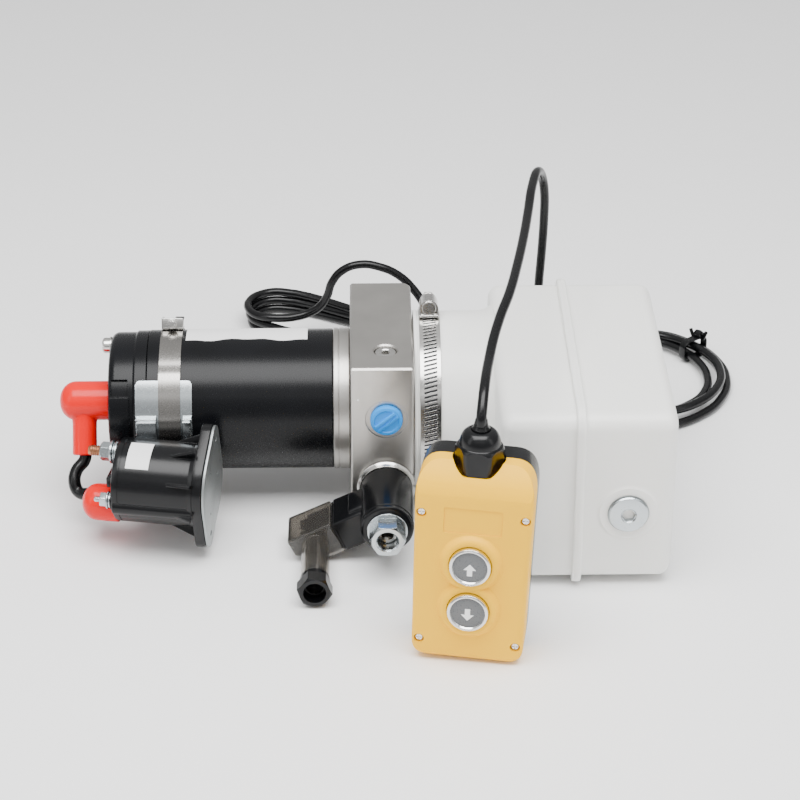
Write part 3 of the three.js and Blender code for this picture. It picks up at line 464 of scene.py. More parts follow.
def hank_turn(index):
    """One turn round the hank: right-hand bow, far side and left-hand fold."""
    heading = math.degrees(math.atan2(HANK_LEFT[1] - HANK_RIGHT[1], HANK_LEFT[0] - HANK_RIGHT[0]))
    right = RIGHT_R - RIGHT_STEPS[index]
    left = LEFT_R + LEFT_STEPS[index]
    points = []
    start, end = -118.0, heading - 90.0
    for i in range(9):
        angle = math.radians(start + (end - start) * i / 8)
        radius = right + 2.5 * math.sin(2.3 * index + 2.0 * angle)
        lift = 3.0 * math.sin(angle + 1.7 * index)
        points.append((HANK_RIGHT[0] + radius * math.cos(angle), HANK_RIGHT[1] + radius * math.sin(angle),
                       TURN_HEIGHTS[index] + max(0.0, lift)))
    fold = [(HANK_LEFT[0] + left * math.cos(math.radians(a)),
             HANK_LEFT[1] + left * math.sin(math.radians(a)), 4.2 + 7.6 * index)
            for a in (80, 120, 160, 200, 236)]
    return points + crossing(points[-1], fold[0], -FAR_BOW), fold


def cord_route():
    """Centre line of the whole cord, from the pendant's gland to the terminals."""
    into_working = UNIT.inverted() @ PENDANT
    gland = [tuple(into_working @ Vector((0, 0, GLAND_TOP + step))) for step in (-6, 12)]
    # Heights from here on are above the floor.
    points = [(62.6, -160, 206.6), (70.6, -125, 214), (79.3, -95, 219.5), (87, -58, 223.5),
              (95, -12, 227.6), (99.8, 20, 231), (105, 55, 236.5), (111, 84, 236), (116.5, 104, 223),
              (119.5, 111, 205), (120, 114, 182), (119, 115, 150), (117.5, 116, 120), (117, 117, 90),
              (118, 119, 62), (124, 119, 38), (138, 113, 20), (156, 102, 10)]
    for index in range(TURNS):
        round_right, fold = hank_turn(index)
        points += round_right[1:] if index == 0 else round_right
        points += fold
        if index < TURNS - 1:
            points += crossing(fold[-1], hank_turn(index + 1)[0][0], NEAR_BOW * (1 - index))
    points += [(-104, 249, 20), (-90, 250, 20.5), (-77, 251, 24), (-67, 250.5, 31), (-60.5, 250, 42),
               (-56.5, 249, 55), (-47, 249, 67), (-31, 249, 73), (-14, 249, 70.5), (3, 249, 62),
               (17.7, 247, 47), (28, 236, 34), (34, 216, 29), (36, 195, 28), (37, 160, 27.5),
               (36.5, 140, 19), (33, 125, 8), (21, 112, 4.2), (-5, 100, 4.2), (-35, 97, 4.2)]
    return gland + [(x, y, FLOOR + z) for x, y, z in points]


def rubber_line(name, points, radius, sides, steps, nodes):
    """A round rubber line on one smooth curve through the points."""
    data = bpy.data.curves.new(name, "CURVE")
    data.dimensions = "3D"
    data.bevel_depth = radius * MM
    data.bevel_resolution = sides
    data.resolution_u = steps
    spline = data.splines.new("BEZIER")
    spline.bezier_points.add(len(points) - 1)
    for knot, point in zip(spline.bezier_points, points):
        knot.co = row(*point)
        knot.handle_left_type = knot.handle_right_type = "AUTO"
    obj = bpy.data.objects.new(name, data)
    bpy.context.scene.collection.objects.link(obj)
    data.materials.append(MATERIALS["black_rubber"])
    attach(obj, "unit")
    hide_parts(*nodes)
    return obj


def cord_tie():
    """A strap tied round the strands at the hank's right-hand bow."""
    angle = 38.0
    centre_r = RIGHT_R - 7.5
    loop = rounded_box(-14.5, 13.5, -7.2, 12.8, 7.0)
    inner = rounded_box(-13.1, 12.1, -5.8, 11.4, 5.8)
    band = cut(prism(loop, -3.5, 3.5, "y", 0.4), prism(inner, -5, 5, "y"))
    knot = moved(turned([[0, -5], [3.4, -3.5], [4, 0], [3.4, 3.5], [0, 5]], "y", 24), 6, 0, 14)
    tails = merge(turned_by(moved(rod(1.6, 0, 9, "z", 12), 6, 0, 12), 24, "X"),
                  turned_by(moved(rod(1.6, 0, 7, "z", 12), 5, 0, 12), -30, "X"))
    place = UNIT @ Matrix.Translation((HANK_RIGHT[0], HANK_RIGHT[1], FLOOR + 8.0)) @ turn(angle, "Z") \
        @ Matrix.Translation((centre_r, 0, 0))
    return piece("cord_tie", merge(band, knot, tails), "black_rubber", place=place)


def terminals(end):
    """Three cores out of the sheath, each with a crimped ring lug."""
    cores = []
    lugs = []
    for degrees in (-15, 0, 15):
        core = rod(1.5, 0, 17, "x", 16)
        sleeve = moved(rod(2.0, 0, 8, "x", 20, 0.3), 15)
        neck = moved(cuboid(0, 6, -1.6, 1.6, -0.4, 0.4), 22)
        eye = moved(ring(2.6, 4.8, -0.4, 0.4, "z", 32), 31)
        for shape, store in ((core, cores), (sleeve, lugs), (neck, lugs), (eye, lugs)):
            store.append(turned_by(moved(shape, 1), degrees, "Z"))
    place = UNIT @ Matrix.Translation(end) @ turn(180, "Z")
    inner = piece("cord_cores", merge(*cores), "black_rubber", place=place)
    eyes = piece("cord_lugs", merge(*lugs), "copper", ["cord_terminals"], place=place,
                 material=EXTRA["silver"])
    return [inner, eyes]


def cord():
    route = cord_route()
    line = rubber_line("cord", route, CORD_D / 2, 5, 8, ["cord_arch", "cord_hank", "cord_tail"])
    collar = piece("cord_collar", moved(turned([[CORD_D / 2 - 0.2, 0], [6.6, 0], [6.6, 2.6],
                                                [5.2, 4.4], [4.4, 9], [CORD_D / 2 - 0.2, 9]], "z", 48),
                                        z=GLAND_TOP - 1.5), "black_rubber", place=PENDANT)
    attached = [collar, cord_tie(), *terminals(route[-1])]


cord()

# ---------------------------------------------------------------- motor
MOTOR_R = 55.5
CAP_FACE, RIM_START, CASING_START, CASING_END = -228.5, -207.3, -198.0, -53.2
BLOCK = {"x0": -39.5, "x1": 9.5, "half_y": 73.0, "z0": FLOOR, "z1": 66.0}
BOLT_ANGLE = 108


def motor():
    casing = turned([[51.5, CASING_START], [MOTOR_R - 0.5, CASING_START], [MOTOR_R, CASING_START + 0.5],
                     [MOTOR_R, CASING_END - 0.5], [MOTOR_R - 0.5, CASING_END], [51.5, CASING_END]],
                    "x", 160)
    piece("casing", casing, "black_paint", ["motor_casing"])
    cap_r = MOTOR_R - 1.5
    fillet = [[cap_r - 6 + 6 * math.sin(math.radians(a)), CAP_FACE + 6 - 6 * math.cos(math.radians(a))]
              for a in range(0, 91, 15)]
    shell = turned([[0, CAP_FACE]] + fillet + [[cap_r, RIM_START - 1.5], [MOTOR_R - 0.4, RIM_START],
                   [MOTOR_R - 0.4, CASING_START - 0.5], [0, CASING_START - 0.5]], "x", 160)
    ledge = soften(sector(cap_r - 2, cap_r + 1.4, -12, 31, CAP_FACE + 1.5, CAP_FACE + 17), 0.5)
    recess = sector(cap_r - 3, cap_r + 4, 32, 46, CAP_FACE + 2.8, CAP_FACE + 15.8)
    wells = []
    for degrees in (BOLT_ANGLE, BOLT_ANGLE + 180):
        well = moved(rod(7.6, CAP_FACE - 1, CAP_FACE + 1.0, "x"), z=44)
        wells.append(turned_by(well, 90 - degrees, "X"))
    piece("end_cap", merge(cut(shell, recess, *wells), ledge), "black_paint", ["motor_end_cap"])
    flange = ring(8, MOTOR_R + 0.6, CASING_END + 0.3, BLOCK["x0"] - 0.3, "x", 160, 0.8)
    groove = ring(MOTOR_R, MOTOR_R + 3, CASING_END + 4.4, CASING_END + 5.2, "x", 160)
    piece("flange", cut(flange, groove), "aluminium", ["motor_flange"])


def through_bolts():
    low, high = CAP_FACE - 7.5, CAP_FACE - 0.3
    for place_name, degrees in (("upper", BOLT_ANGLE), ("lower", BOLT_ANGLE + 180)):
        head = turned([[0, low], [4.6, low], [5.9, low + 1.0], [6.2, low + 2.2], [6.2, high], [0, high]])
        slot = cuboid(low - 1, low + 1.9, -8, 8, -0.8, 0.8)
        washer = rod(7.0, high - 1.0, high + 0.2, "x")
        shank = rod(2.6, low + 3, CASING_END - 1, "x", 24)
        bolt = merge(cut(head, slot), washer, shank)
        piece(f"bolt_{place_name}", turned_by(moved(bolt, z=44), 90 - degrees, "X"), "steel",
              [f"through_bolt_{place_name}"])


def motor_label():
    low_x, high_x = -168.5, -73.0
    stations = []
    for i in range(41):
        x = low_x + (high_x - low_x) * i / 40
        wave = 1.3 * math.sin(x * 0.09) + 0.8 * math.sin(x * 0.23 + 1.0)
        stations.append((x, 85.6 + wave, 122))
    piece("label", wrapped(MOTOR_R + 0.05, MOTOR_R + 0.45, stations), "paper", ["motor_label"])


# ---------------------------------------------------------------- manifold block
PORT = {"x": -11.7, "z": 21.4, "spot": 16.3, "cap": 12.5}
RELIEF = {"x": -12.0, "y": -43.0, "radius": 8.8}


def manifold_block():
    x0, x1, half_y, z0, z1 = BLOCK["x0"], BLOCK["x1"], BLOCK["half_y"], BLOCK["z0"], BLOCK["z1"]
    outline = (arc(x1 - 2, -half_y + 2, 2, -90, 0, 4) + arc(x1 - 7.5, half_y - 7.5, 7.5, 0, 90, 10)
               + arc(x0 + 2, half_y - 2, 2, 90, 180, 4) + arc(x0 + 2, -half_y + 2, 2, 180, 270, 4))
    body = prism(outline, z0, z1, "z")
    edges = [e for e in body.edges if abs(e.verts[0].co.z - e.verts[1].co.z) < 1e-4
             and e.calc_face_angle(0) > 1.0]
    bmesh.ops.bevel(body, geom=edges, offset=1.5, segments=1, affect="EDGES", clamp_overlap=True)
    front = -half_y
    spot = moved(rod(PORT["spot"], front - 1, front + 1.2, "y", 96), PORT["x"], 0, PORT["z"])
    port = moved(rod(9.3, front, front + 20, "y", 48), PORT["x"], 0, PORT["z"])
    valve = moved(rod(9, front - 1, front + 26, "y", 48), VALVE_X, 0, VALVE_Z)
    relief = moved(rod(RELIEF["radius"], z1 - 14, z1 + 1, "z", 64), RELIEF["x"], RELIEF["y"])
    countersink = moved(turned([[0, z1 - 1.2], [RELIEF["radius"], z1 - 1.2],
                                [RELIEF["radius"] + 1.3, z1 + 0.1], [RELIEF["radius"] + 1.3, z1 + 1],
                                [0, z1 + 1]], "z", 64), RELIEF["x"], RELIEF["y"])
    body = cut(body, spot, port, valve, relief, countersink)
    spigot = ring(52, 62.4, x1 - 1, x1 + 26, "x", 128, 1)
    piece("block", merge(body, spigot), "aluminium", ["manifold_block"])
    dot = moved(rod(0.9, -front - 0.5, -front + 0.12, "front", 24), -33.5, 0, 39)
    piece("dot", dot, "paper", material=EXTRA["white"])


def block_fittings():
    top = BLOCK["z1"] - 1.5
    radius = RELIEF["radius"] - 0.3
    screw = turned([[0, top - 11], [radius, top - 11], [radius, top - 0.8], [radius - 0.8, top],
                    [0, top]], "z", 64)
    socket = hexagon(6, top - 5, top + 1, "z", 12)
    dish = turned([[0, top - 0.6], [4.2, top - 0.6], [5.2, top + 0.2], [0, top + 0.2]], "z", 48)
    piece("relief_plug", moved(cut(screw, socket, dish), RELIEF["x"], RELIEF["y"]), "steel",
          ["relief_screw"])

    seat = BLOCK["half_y"] - 0.9
    cap_r = PORT["cap"]
    cap = turned([[0, seat - 14], [8.4, seat - 14], [8.8, seat], [cap_r, seat], [cap_r, seat + 3.2],
                  [cap_r - 0.6, seat + 4.2], [cap_r - 1.8, seat + 4.8], [cap_r - 3.0, seat + 4.8],
                  [cap_r - 3.6, seat + 4.1], [0, seat + 4.1]], "front")
    bar = cuboid(-3.2, 3.2, -(seat + 6.2), -(seat + 3), -9.8, 9.8, 0.8)
    slot = cuboid(-1.1, 1.1, -(seat + 8), -(seat + 5.2), -11, 11)
    shape = merge(cap, turned_by(cut(bar, slot), 50, "Y"))
    piece("port_cap", moved(shape, PORT["x"], 0, PORT["z"]), "blue_plastic", ["port_plug"])


# ---------------------------------------------------------------- solenoid valve
COIL_BACK, COIL_FRONT, COIL_R, TUBE_R = 79.8, 138.0, 20.5, 7.5


def solenoid_valve():
    seat = BLOCK["half_y"] + 0.3
    end = COIL_FRONT + 7
    base = turned([[0, seat], [22.8, seat], [22.8, seat + 2.4], [22.0, seat + 3.2], [21, COIL_BACK - 0.4],
                   [0, COIL_BACK - 0.4]], "front", 128)
    core = merge(base, rod(8.6, seat - 24, seat + 1, "front"),
                 turned([[4.8, seat], [TUBE_R, seat], [TUBE_R, end - 0.8], [6.9, end], [4.8, end]],
                        "front", 64))
    piece("cartridge", core, "steel", ["valve_cartridge"], place=VALVE)

    coil = turned([[TUBE_R + 0.3, COIL_BACK], [COIL_R - 1.5, COIL_BACK], [COIL_R, COIL_BACK + 1.5],
                   [COIL_R, COIL_FRONT - 5.0], [COIL_R - 0.5, COIL_FRONT - 4.6],
                   [COIL_R - 0.5, COIL_FRONT - 1.4], [COIL_R - 1.4, COIL_FRONT - 0.4],
                   [COIL_R - 2.6, COIL_FRONT], [TUBE_R + 0.3, COIL_FRONT]], "front", 128)
    stand = turned_by(cuboid(-40.5, -12, -121, -84, -13, 13, 1.4), -VALVE_TILT, "Y")
    foot = turned_by(cuboid(-42, -40.6, -119.6, -85.4, -12, 12, 0.4), -VALVE_TILT, "Y")
    shoulder = turned_by(cuboid(-27, -10, -116, -88, -15.2, 15.2, 2.5), -VALVE_TILT, "Y")
    piece("coil", merge(coil, stand, foot, shoulder), "black_plastic", ["valve_coil"], place=VALVE)

    start = COIL_FRONT + 0.3
    stop = start + 17
    washer = ring(TUBE_R + 0.2, 15.5, start, start + 2, "front", 96, 0.4)
    blank = hexagon(24, start + 2, stop, "front", 0)
    chamfer = turned([[0, start], [15.5, start], [15.5, stop - 2.6], [12.0, stop], [0, stop]], "front")
    hole = rod(TUBE_R + 0.2, start - 1, stop + 1, "front", 64)
    lead = turned([[0, stop - 1.2], [TUBE_R + 0.2, stop - 1.2], [TUBE_R + 1.5, stop + 0.1], [0, stop + 0.1]],
                  "front", 64)
    nut = cut(combine(blank, [chamfer], "INTERSECT"), hole, lead)
    piece("coil_nut_body", merge(washer, nut), "zinc", ["coil_nut"], place=VALVE)


def plug_connector():
    inner, outer = -42.3, -79.0
    front, back = 120.0, 84.0
    half, wall, gland_x = 13.5, 2.4, -61.0

    def outline(inset):
        return [(inner, inset - half), (outer + 21 + inset / 2, inset - half),
                (outer + inset, -1 + inset / 2), (outer + inset, half - inset), (inner, half - inset)]

    body = prism(outline(0), back, front, "front", 1.6, 4)
    hollow = prism(outline(wall), back + wall, front - wall, "front")
    neck = moved(ring(7.4, 11, 117, 166, "front", 64, 0.6), gland_x)
    rib = moved(cuboid(-0.7, 0.7, -164, -122, 10.2, 11.6, 0.3), gland_x)
    shell = merge(cut(body, hollow), neck, rib)
    piece("clear_housing", shell, "clear_plastic", ["connector_housing"], place=CONNECTOR)

    insert = merge(cuboid(-63, -42.5, -116, -88, -5.5, 9.5, 1.0),
                   cuboid(-70, -62, -112, -104, -1, 8, 0.6), cuboid(-70, -62, -98, -90, -1, 8, 0.6))
    piece("clear_insert", insert, "black_plastic", ["connector_insert"], place=CONNECTOR)
    screws = [moved(rod(2.4, 96, 112, "front", 24), -66, 0, z) for z in (2, 7)]
    piece("clear_terminals", merge(*screws), "steel", place=CONNECTOR, material=EXTRA["silver"])

    end = 184.0
    collar = rod(11.6, 166.3, 172.5, "front", 64, 0.5)
    blank = hexagon(23.6, 172, end, "front", VALVE_TILT)
    chamfer = turned([[0, 171], [13.8, 171], [13.8, end - 2], [11.6, end], [0, end]], "front", 64)
    holes = [rod(6.6, 150, end + 1, "front", 48) for _ in range(2)]
    flare = turned([[0, end - 9], [7.4, end - 9], [8.8, end + 1], [0, end + 1]], "front", 48)
    tube = ring(6.2, 7.1, 158, 168, "front", 48)
    nut = cut(collar, holes[0])
    head = cut(combine(blank, [chamfer], "INTERSECT"), holes[1], flare)
    piece("clear_gland", moved(merge(nut, head, tube), gland_x), "black_plastic",
          ["connector_gland_nut"], place=CONNECTOR)


# ---------------------------------------------------------------- start relay
RELAY_R = 32.5
LOBE_TILT, LOBE_REACH, LOBE_R = 22, 36.5, 11.5
MAIN_STUD, COIL_STUD = (4, 21), (-23, -6)


def lobed_outline(shrink):
    centre, lobe = RELAY_R + 1 - shrink, LOBE_R - shrink
    lean = math.degrees(math.acos((centre - lobe) / LOBE_REACH))
    return (arc(0, LOBE_REACH, lobe, 90 - lean, 90 + lean, 16)
            + arc(0, 0, centre, 90 + lean, 270 - lean, 24)
            + arc(0, -LOBE_REACH, lobe, 270 - lean, 270 + lean, 16)
            + arc(0, 0, centre, 270 + lean, 450 - lean, 24))


def threaded(radius, low, high, pitch=1.6, axis="x"):
    profile = [[0, low], [radius * 0.8, low]]
    along = low + pitch
    while along < high - pitch:
        profile += [[radius * 0.88, along], [radius, along + pitch / 2]]
        along += pitch
    return turned(profile + [[radius * 0.9, high], [0, high]], axis, 40)


def start_relay():
    end = RELAY_END
    can = turned([[0, end + 0.8], [RELAY_R - 4, end + 0.8], [RELAY_R - 4, end], [RELAY_R - 2, end],
                  [RELAY_R - 0.6, end + 0.6], [RELAY_R, end + 2], [RELAY_R, 1], [0, 1]], "x", 128)
    groove = ring(RELAY_R - 0.5, RELAY_R + 1, end + 5.4, end + 6.1, "x", 128)
    flange = turned_by(prism(lobed_outline(0), 0, 8, "x", 0.9), -LOBE_TILT, "X")
    step = turned([[0, -3], [RELAY_R + 0.8, -3], [RELAY_R + 1.6, 0.5], [0, 0.5]], "x", 128)
    ribs = []
    for degrees in (62, 20, -20, -118, 150, 105):
        rib = prism([(0.5, 0), (-22, 0), (0.5, 9)], -1.3, 1.3, "y", 0.3)
        ribs.append(turned_by(moved(rib, z=RELAY_R - 1), degrees, "X"))
    boss = turned_by(moved(rod(6.5, end + 1, 1, "x", 48, 0.8), 0, -RELAY_R + 3.6), 15, "X")
    wall = cuboid(end - 8.5, end + 1, -11, 9, -2.5, 6, 0.8)
    pads = [moved(rod(radius, end - 1.4, end + 1, "x", 48, 0.4), 0, y, z)
            for radius, (y, z) in ((9.5, MAIN_STUD), (7.5, COIL_STUD))]
    body = merge(cut(can, groove), step, flange, boss, wall, *ribs, *pads)
    piece("relay_can", body, "black_plastic", ["relay_body"], place=RELAY)

    plate = prism(lobed_outline(0.6), 8.3, 10.4, "x", 0.5, 2)
    holes = [moved(rod(2.3, 7, 12, "x", 32), 0, 0, side * LOBE_REACH) for side in (1, -1)]
    small = [moved(rod(1.1, 9.6, 12, "x", 24), 0, 14 * math.cos(a), 22 * math.sin(a))
             for a in (0.4, 2.6, 4.4)]
    piece("relay_plate", turned_by(cut(plate, *holes, *small), -LOBE_TILT, "X"), "zinc",
          ["relay_end_plate"], place=RELAY, material=EXTRA["dark_zinc"])

    label = sector(RELAY_R + 0.05, RELAY_R + 0.4, 46, 91, end + 10.5, end + 28.5)
    piece("relay_sticker", label, "paper", ["relay_label"], place=RELAY)

    y, z = MAIN_STUD
    piece("relay_main_stud", moved(threaded(4.2, end - 25, end + 8), 0, y, z), "copper",
          ["relay_stud"], place=RELAY)
    nut_blank = hexagon(13, end - 15, end - 7, "x", 8)
    nut_round = turned([[0, end - 15], [6.3, end - 15], [7.6, end - 13.6], [7.6, end - 7], [0, end - 7]])
    washers = [ring(4.3, outer, end - far, end - near, "x", 64, chamfer) for outer, far, near, chamfer in
               ((9.2, 7, 5.2, 0.3), (8.2, 5, 3.4, 0.5), (9.0, 3.2, 1.6, 0.3))]
    nut = combine(nut_blank, [nut_round], "INTERSECT")
    piece("relay_main_nut", moved(merge(nut, *washers), 0, y, z), "zinc", ["relay_nut"], place=RELAY)
    y, z = COIL_STUD
    small_nut = merge(threaded(2.3, end - 15, end + 5, 1.0), hexagon(10.5, end - 10, end - 5, "x", 20, 0.5),
                      ring(2.2, 6.8, end - 4.8, end - 3.4, "x", 48, 0.3),
                      ring(2.2, 6.0, end - 3.2, end - 1.6, "x", 48, 0.3))
    piece("relay_small_stud", moved(small_nut, 0, y, z), "zinc", ["relay_coil_stud"], place=RELAY)


# ---------------------------------------------------------------- strap and saddle
SADDLE = {"x0": -206.5, "x1": -162.5, "thick": 1.5}
STRAP = {"x": -180.0, "half": 8.5, "thick": 0.9}


def saddle():
    x0, x1 = SADDLE["x0"], SADDLE["x1"]
    inner = MOTOR_R + 0.3
    stations = []
    for i in range(33):
        x = x0 + (x1 - x0) * i / 32
        edge = min(x - x0, x1 - x)
        dip = 3.5 - math.sqrt(max(0.0, 3.5 ** 2 - max(0.0, 3.5 - edge) ** 2))
        stations.append((x, -24, 44 - dip))
    sheet = wrapped(inner, inner + SADDLE["thick"], stations)
    lips = [cuboid(low, high, -60.5, -53, 14.4, 16, 0.6) for low, high in
            ((x0, STRAP["x"] - 10), (STRAP["x"] + 10, x1))]
    webs = [cuboid(low, high, -63.5, -54, -18, 15, 0.6) for low, high in
            ((x0 + 1, STRAP["x"] - 10), (STRAP["x"] + 10, x1 - 1))]
    piece("saddle", merge(sheet, *lips, *webs), "zinc", ["relay_saddle"])


def strap_radius(angle):
    saddle_outer = MOTOR_R + 0.3 + SADDLE["thick"] + 0.3
    start = MOTOR_R + 0.3
    from_saddle = max(0.0, abs(((angle - 9 + 540) % 360) - 180) - 37)
    rise = max(0.0, 1 - from_saddle / 12)
    return start + (saddle_outer - start) * rise * rise * (3 - 2 * rise)


def strap():
    shape = bmesh.new()
    steps = 180
    x0, x1 = STRAP["x"] - STRAP["half"], STRAP["x"] + STRAP["half"]
    loops = []
    for i in range(steps):
        angle = 360.0 * i / steps
        radius = strap_radius(angle)
        a = math.radians(angle)
        corners = ((x0, radius), (x1, radius), (x1, radius + STRAP["thick"]), (x0, radius + STRAP["thick"]))
        loops.append([shape.verts.new((x, -r * math.cos(a), r * math.sin(a))) for x, r in corners])
    join_loops(shape, loops + loops[:1])
    piece("strap", faced(shape), "steel", ["motor_strap"], material=EXTRA["strap"])

    top = MOTOR_R + 0.3 + STRAP["thick"] + 0.3
    half = STRAP["half"]
    x = STRAP["x"]
    fold = merge(cuboid(x - half, x + half, -9, 6, top, top + 1.3, 0.4),
                 cuboid(x - half, x + half, -9, -7.4, top, top + 8.8, 0.5),
                 cuboid(x - half, x - half + 1.4, -9, 5, top, top + 8.8, 0.5),
                 moved(rod(2.6, -15, 13, "y", 32, 0.4), x, 0, top + 4.6),
                 moved(hexagon(7.6, -13, -9.4, "y", 10, 0.4), x, 0, top + 4.6))
    piece("strap_buckle", turned_by(fold, -22, "X"), "steel", ["strap_screw"])
    # The strap's curled end is painted shade: a darkened copy of the strap steel standing for the shade
    # inside the curl.
    curl = [(9.0 - 9 * math.cos(math.radians(a)), 9 * math.sin(math.radians(a))) for a in range(20, 130, 10)]
    outer = [(y, top + 0.2 + z * 0.9) for y, z in curl]
    inner = [(y * 0.94 + 0.6, top + 0.2 + z * 0.9 - 1.0) for y, z in reversed(curl)]
    end = prism([(y, z) for y, z in outer + inner], x + half - 7.0, x + half - 0.4, "x")
    piece("strap_end", turned_by(end, -22, "X"), "steel", material=EXTRA["painted_shade_steel"])


# ---------------------------------------------------------------- jumper cable and boots
MOTOR_STUD = (-18.0, 9.5)
BOOT_R, LEG_R, CABLE_R = 15.5, 9.6, 4.9
BOOT_STUD = (-3.0, -21.0)


def dome(radius, length):
    """A hood along +X with a full round nose."""
    nose = radius * 0.85
    profile = [[0, 0], [radius - 0.6, 0], [radius, 0.6]]
    for degrees in range(0, 91, 6):
        a = math.radians(degrees)
        profile.append([radius * math.cos(a) ** 0.9 if degrees < 90 else 0.0,
                        length - nose + nose * math.sin(a)])
    return turned(profile, "x", 96)


def aimed(shape, start, direction):
    """Moves a shape built along +Z to start, pointing along direction."""
    rotation = Vector((0, 0, 1)).rotation_difference(Vector(direction).normalized()).to_matrix().to_4x4()
    shape.transform(Matrix.Translation(start) @ rotation)
    return shape


def jumper():
    stud = Vector((CAP_FACE - 0.3, *MOTOR_STUD))
    hood = moved(turned_by(dome(BOOT_R, 40), 180, "Z"), *stud)
    elbow = Vector((-249.5, *MOTOR_STUD))
    down = Vector((0, -0.5, -0.87)).normalized()
    leg_length = 43.0
    leg_shape = turned([[0, 0], [LEG_R + 2.5, 0], [LEG_R + 2.0, 8], [LEG_R + 0.5, 14], [LEG_R, 18],
                        [LEG_R, leg_length - 1], [LEG_R - 1, leg_length], [CABLE_R + 0.3, leg_length],
                        [CABLE_R + 0.3, leg_length - 3], [0, leg_length - 3]], "z", 64)
    piece("boot_upper", merge(hood, aimed(leg_shape, elbow, down)), "red_rubber", ["boot_motor"])

    into_working = UNIT.inverted() @ RELAY
    lower_hood = moved(turned_by(dome(BOOT_R - 1, 30), 180, "Z"), RELAY_END - 0.3, *BOOT_STUD)
    lower_hood.transform(into_working)
    lower_elbow = into_working @ Vector((RELAY_END - 15, *BOOT_STUD))
    back = Vector((-0.45, 0.87, -0.2)).normalized()
    short = 18.0
    lower_leg = turned([[0, 0], [LEG_R - 1, 0], [LEG_R - 2, short - 1], [LEG_R - 3, short], [0, short]],
                       "z", 64)
    piece("boot_lower", merge(lower_hood, aimed(lower_leg, lower_elbow, back)), "red_rubber",
          ["boot_relay"])

    upper = elbow + down * (leg_length - 6)
    lower = lower_elbow + back * (short - 4)
    route = [upper, elbow + down * (leg_length + 3), Vector((-256, -47, -37.5)), Vector((-257.5, -53, -44)),
             Vector((-254, -58, -50.5)), lower + back * 8, lower]
    rubber_line("jumper", route, CABLE_R, 6, 12, ["jumper_cable"])


# ---------------------------------------------------------------- tank
TANK = {"x0": 72.0, "x1": 203.0, "y0": -157.0, "y1": 68.5, "z0": -73.0, "z1": 69.0, "corner": 12.0}
NECK_R, NECK_START = 69.0, 10.5
SEAM_X, SEAM_HALF, SEAM_PROUD = 131.0, 3.4, 5.0
DRAIN, BREATHER = (168.0, -12.0), (168.0, 0.0)


def tank():
    t = TANK
    outline = rounded_box(t["y0"], t["y1"], t["z0"], t["z1"], t["corner"], 10)
    shell = prism(outline, t["x0"], t["x1"], "x")
    ends = [e for e in shell.edges if abs(e.verts[0].co.x - e.verts[1].co.x) < 1e-4
            and e.calc_face_angle(0) > 1.0]
    bmesh.ops.bevel(shell, geom=ends, offset=9.5, segments=8, profile=0.5, affect="EDGES",
                    clamp_overlap=True)
    neck = turned([[65.2, NECK_START], [NECK_R - 0.6, NECK_START], [NECK_R, NECK_START + 0.8],
                   [NECK_R, 62], [NECK_R + 1.0, 68], [NECK_R + 4.5, 73.5], [NECK_R - 3, 76], [65.2, 76]],
                  "x", 160)
    rim = turned([[NECK_R - 0.5, NECK_START + 0.2], [NECK_R + 0.5, NECK_START + 0.2],
                  [NECK_R + 0.9, NECK_START + 1.2], [NECK_R + 0.9, NECK_START + 2.4],
                  [NECK_R - 0.5, NECK_START + 3.0]], "x", 160)
    p = SEAM_PROUD
    seam = prism(rounded_box(t["y0"] - p, t["y1"] + p, t["z0"] - p, t["z1"] + p, t["corner"] + p, 12),
                 SEAM_X - SEAM_HALF, SEAM_X + SEAM_HALF, "x", 1.3, 3)
    line = prism(rounded_box(t["y0"] - p - 0.35, t["y1"] + p + 0.35, t["z0"] - p, t["z1"] + p + 0.35,
                             t["corner"] + p, 12), SEAM_X - 0.5, SEAM_X + 0.5, "x")
    boss = moved(turned([[0, 150], [27, 156.6], [23, 157.2], [21.5, 158.4], [0, 158.4]], "front", 96),
                 DRAIN[0], 0, DRAIN[1])
    whole = combine(neck, [shell, rim, seam, line, boss], "UNION")
    piece("tank", whole, "tank_plastic", ["oil_tank"])

    seat = 158.7
    plug = turned([[0, seat - 14], [8.6, seat - 14], [9.1, seat - 12], [9.1, seat], [15, seat],
                   [15, seat + 1.6], [14.2, seat + 2.6], [9.6, seat + 3.6], [0, seat + 3.6]], "front", 96)
    socket = hexagon(9.5, seat - 5, seat + 5, "front", 8)
    dish = turned([[0, seat + 2.9], [5.4, seat + 2.9], [6.4, seat + 4], [0, seat + 4]], "front", 64)
    piece("drain", moved(cut(plug, socket, dish), DRAIN[0], 0, DRAIN[1]), "zinc", ["drain_plug"])
    seal = moved(ring(9.3, 15.6, seat - 0.3, seat + 0.5, "front", 96), DRAIN[0], 0, DRAIN[1])
    piece("drain_washer", seal, "zinc", material=EXTRA["dark_zinc"])

    capped = t["y1"] + 0.3
    breather = turned([[0, capped - 12], [9, capped - 12], [9, capped], [18.6, capped], [20, capped + 1.5],
                       [20, capped + 12.5], [19.3, capped + 14.2], [17.5, capped + 15.5],
                       [0, capped + 15.5]], "y", 96)
    grips = [turned_by(moved(cuboid(-0.9, 0.9, capped + 2, capped + 12, 18.6, 20.0, 0.3)), a, "Y")
             for a in range(0, 360, 18)]
    piece("breather", moved(merge(breather, *grips), BREATHER[0], 0, BREATHER[1]), "black_plastic",
          ["breather_cap"])


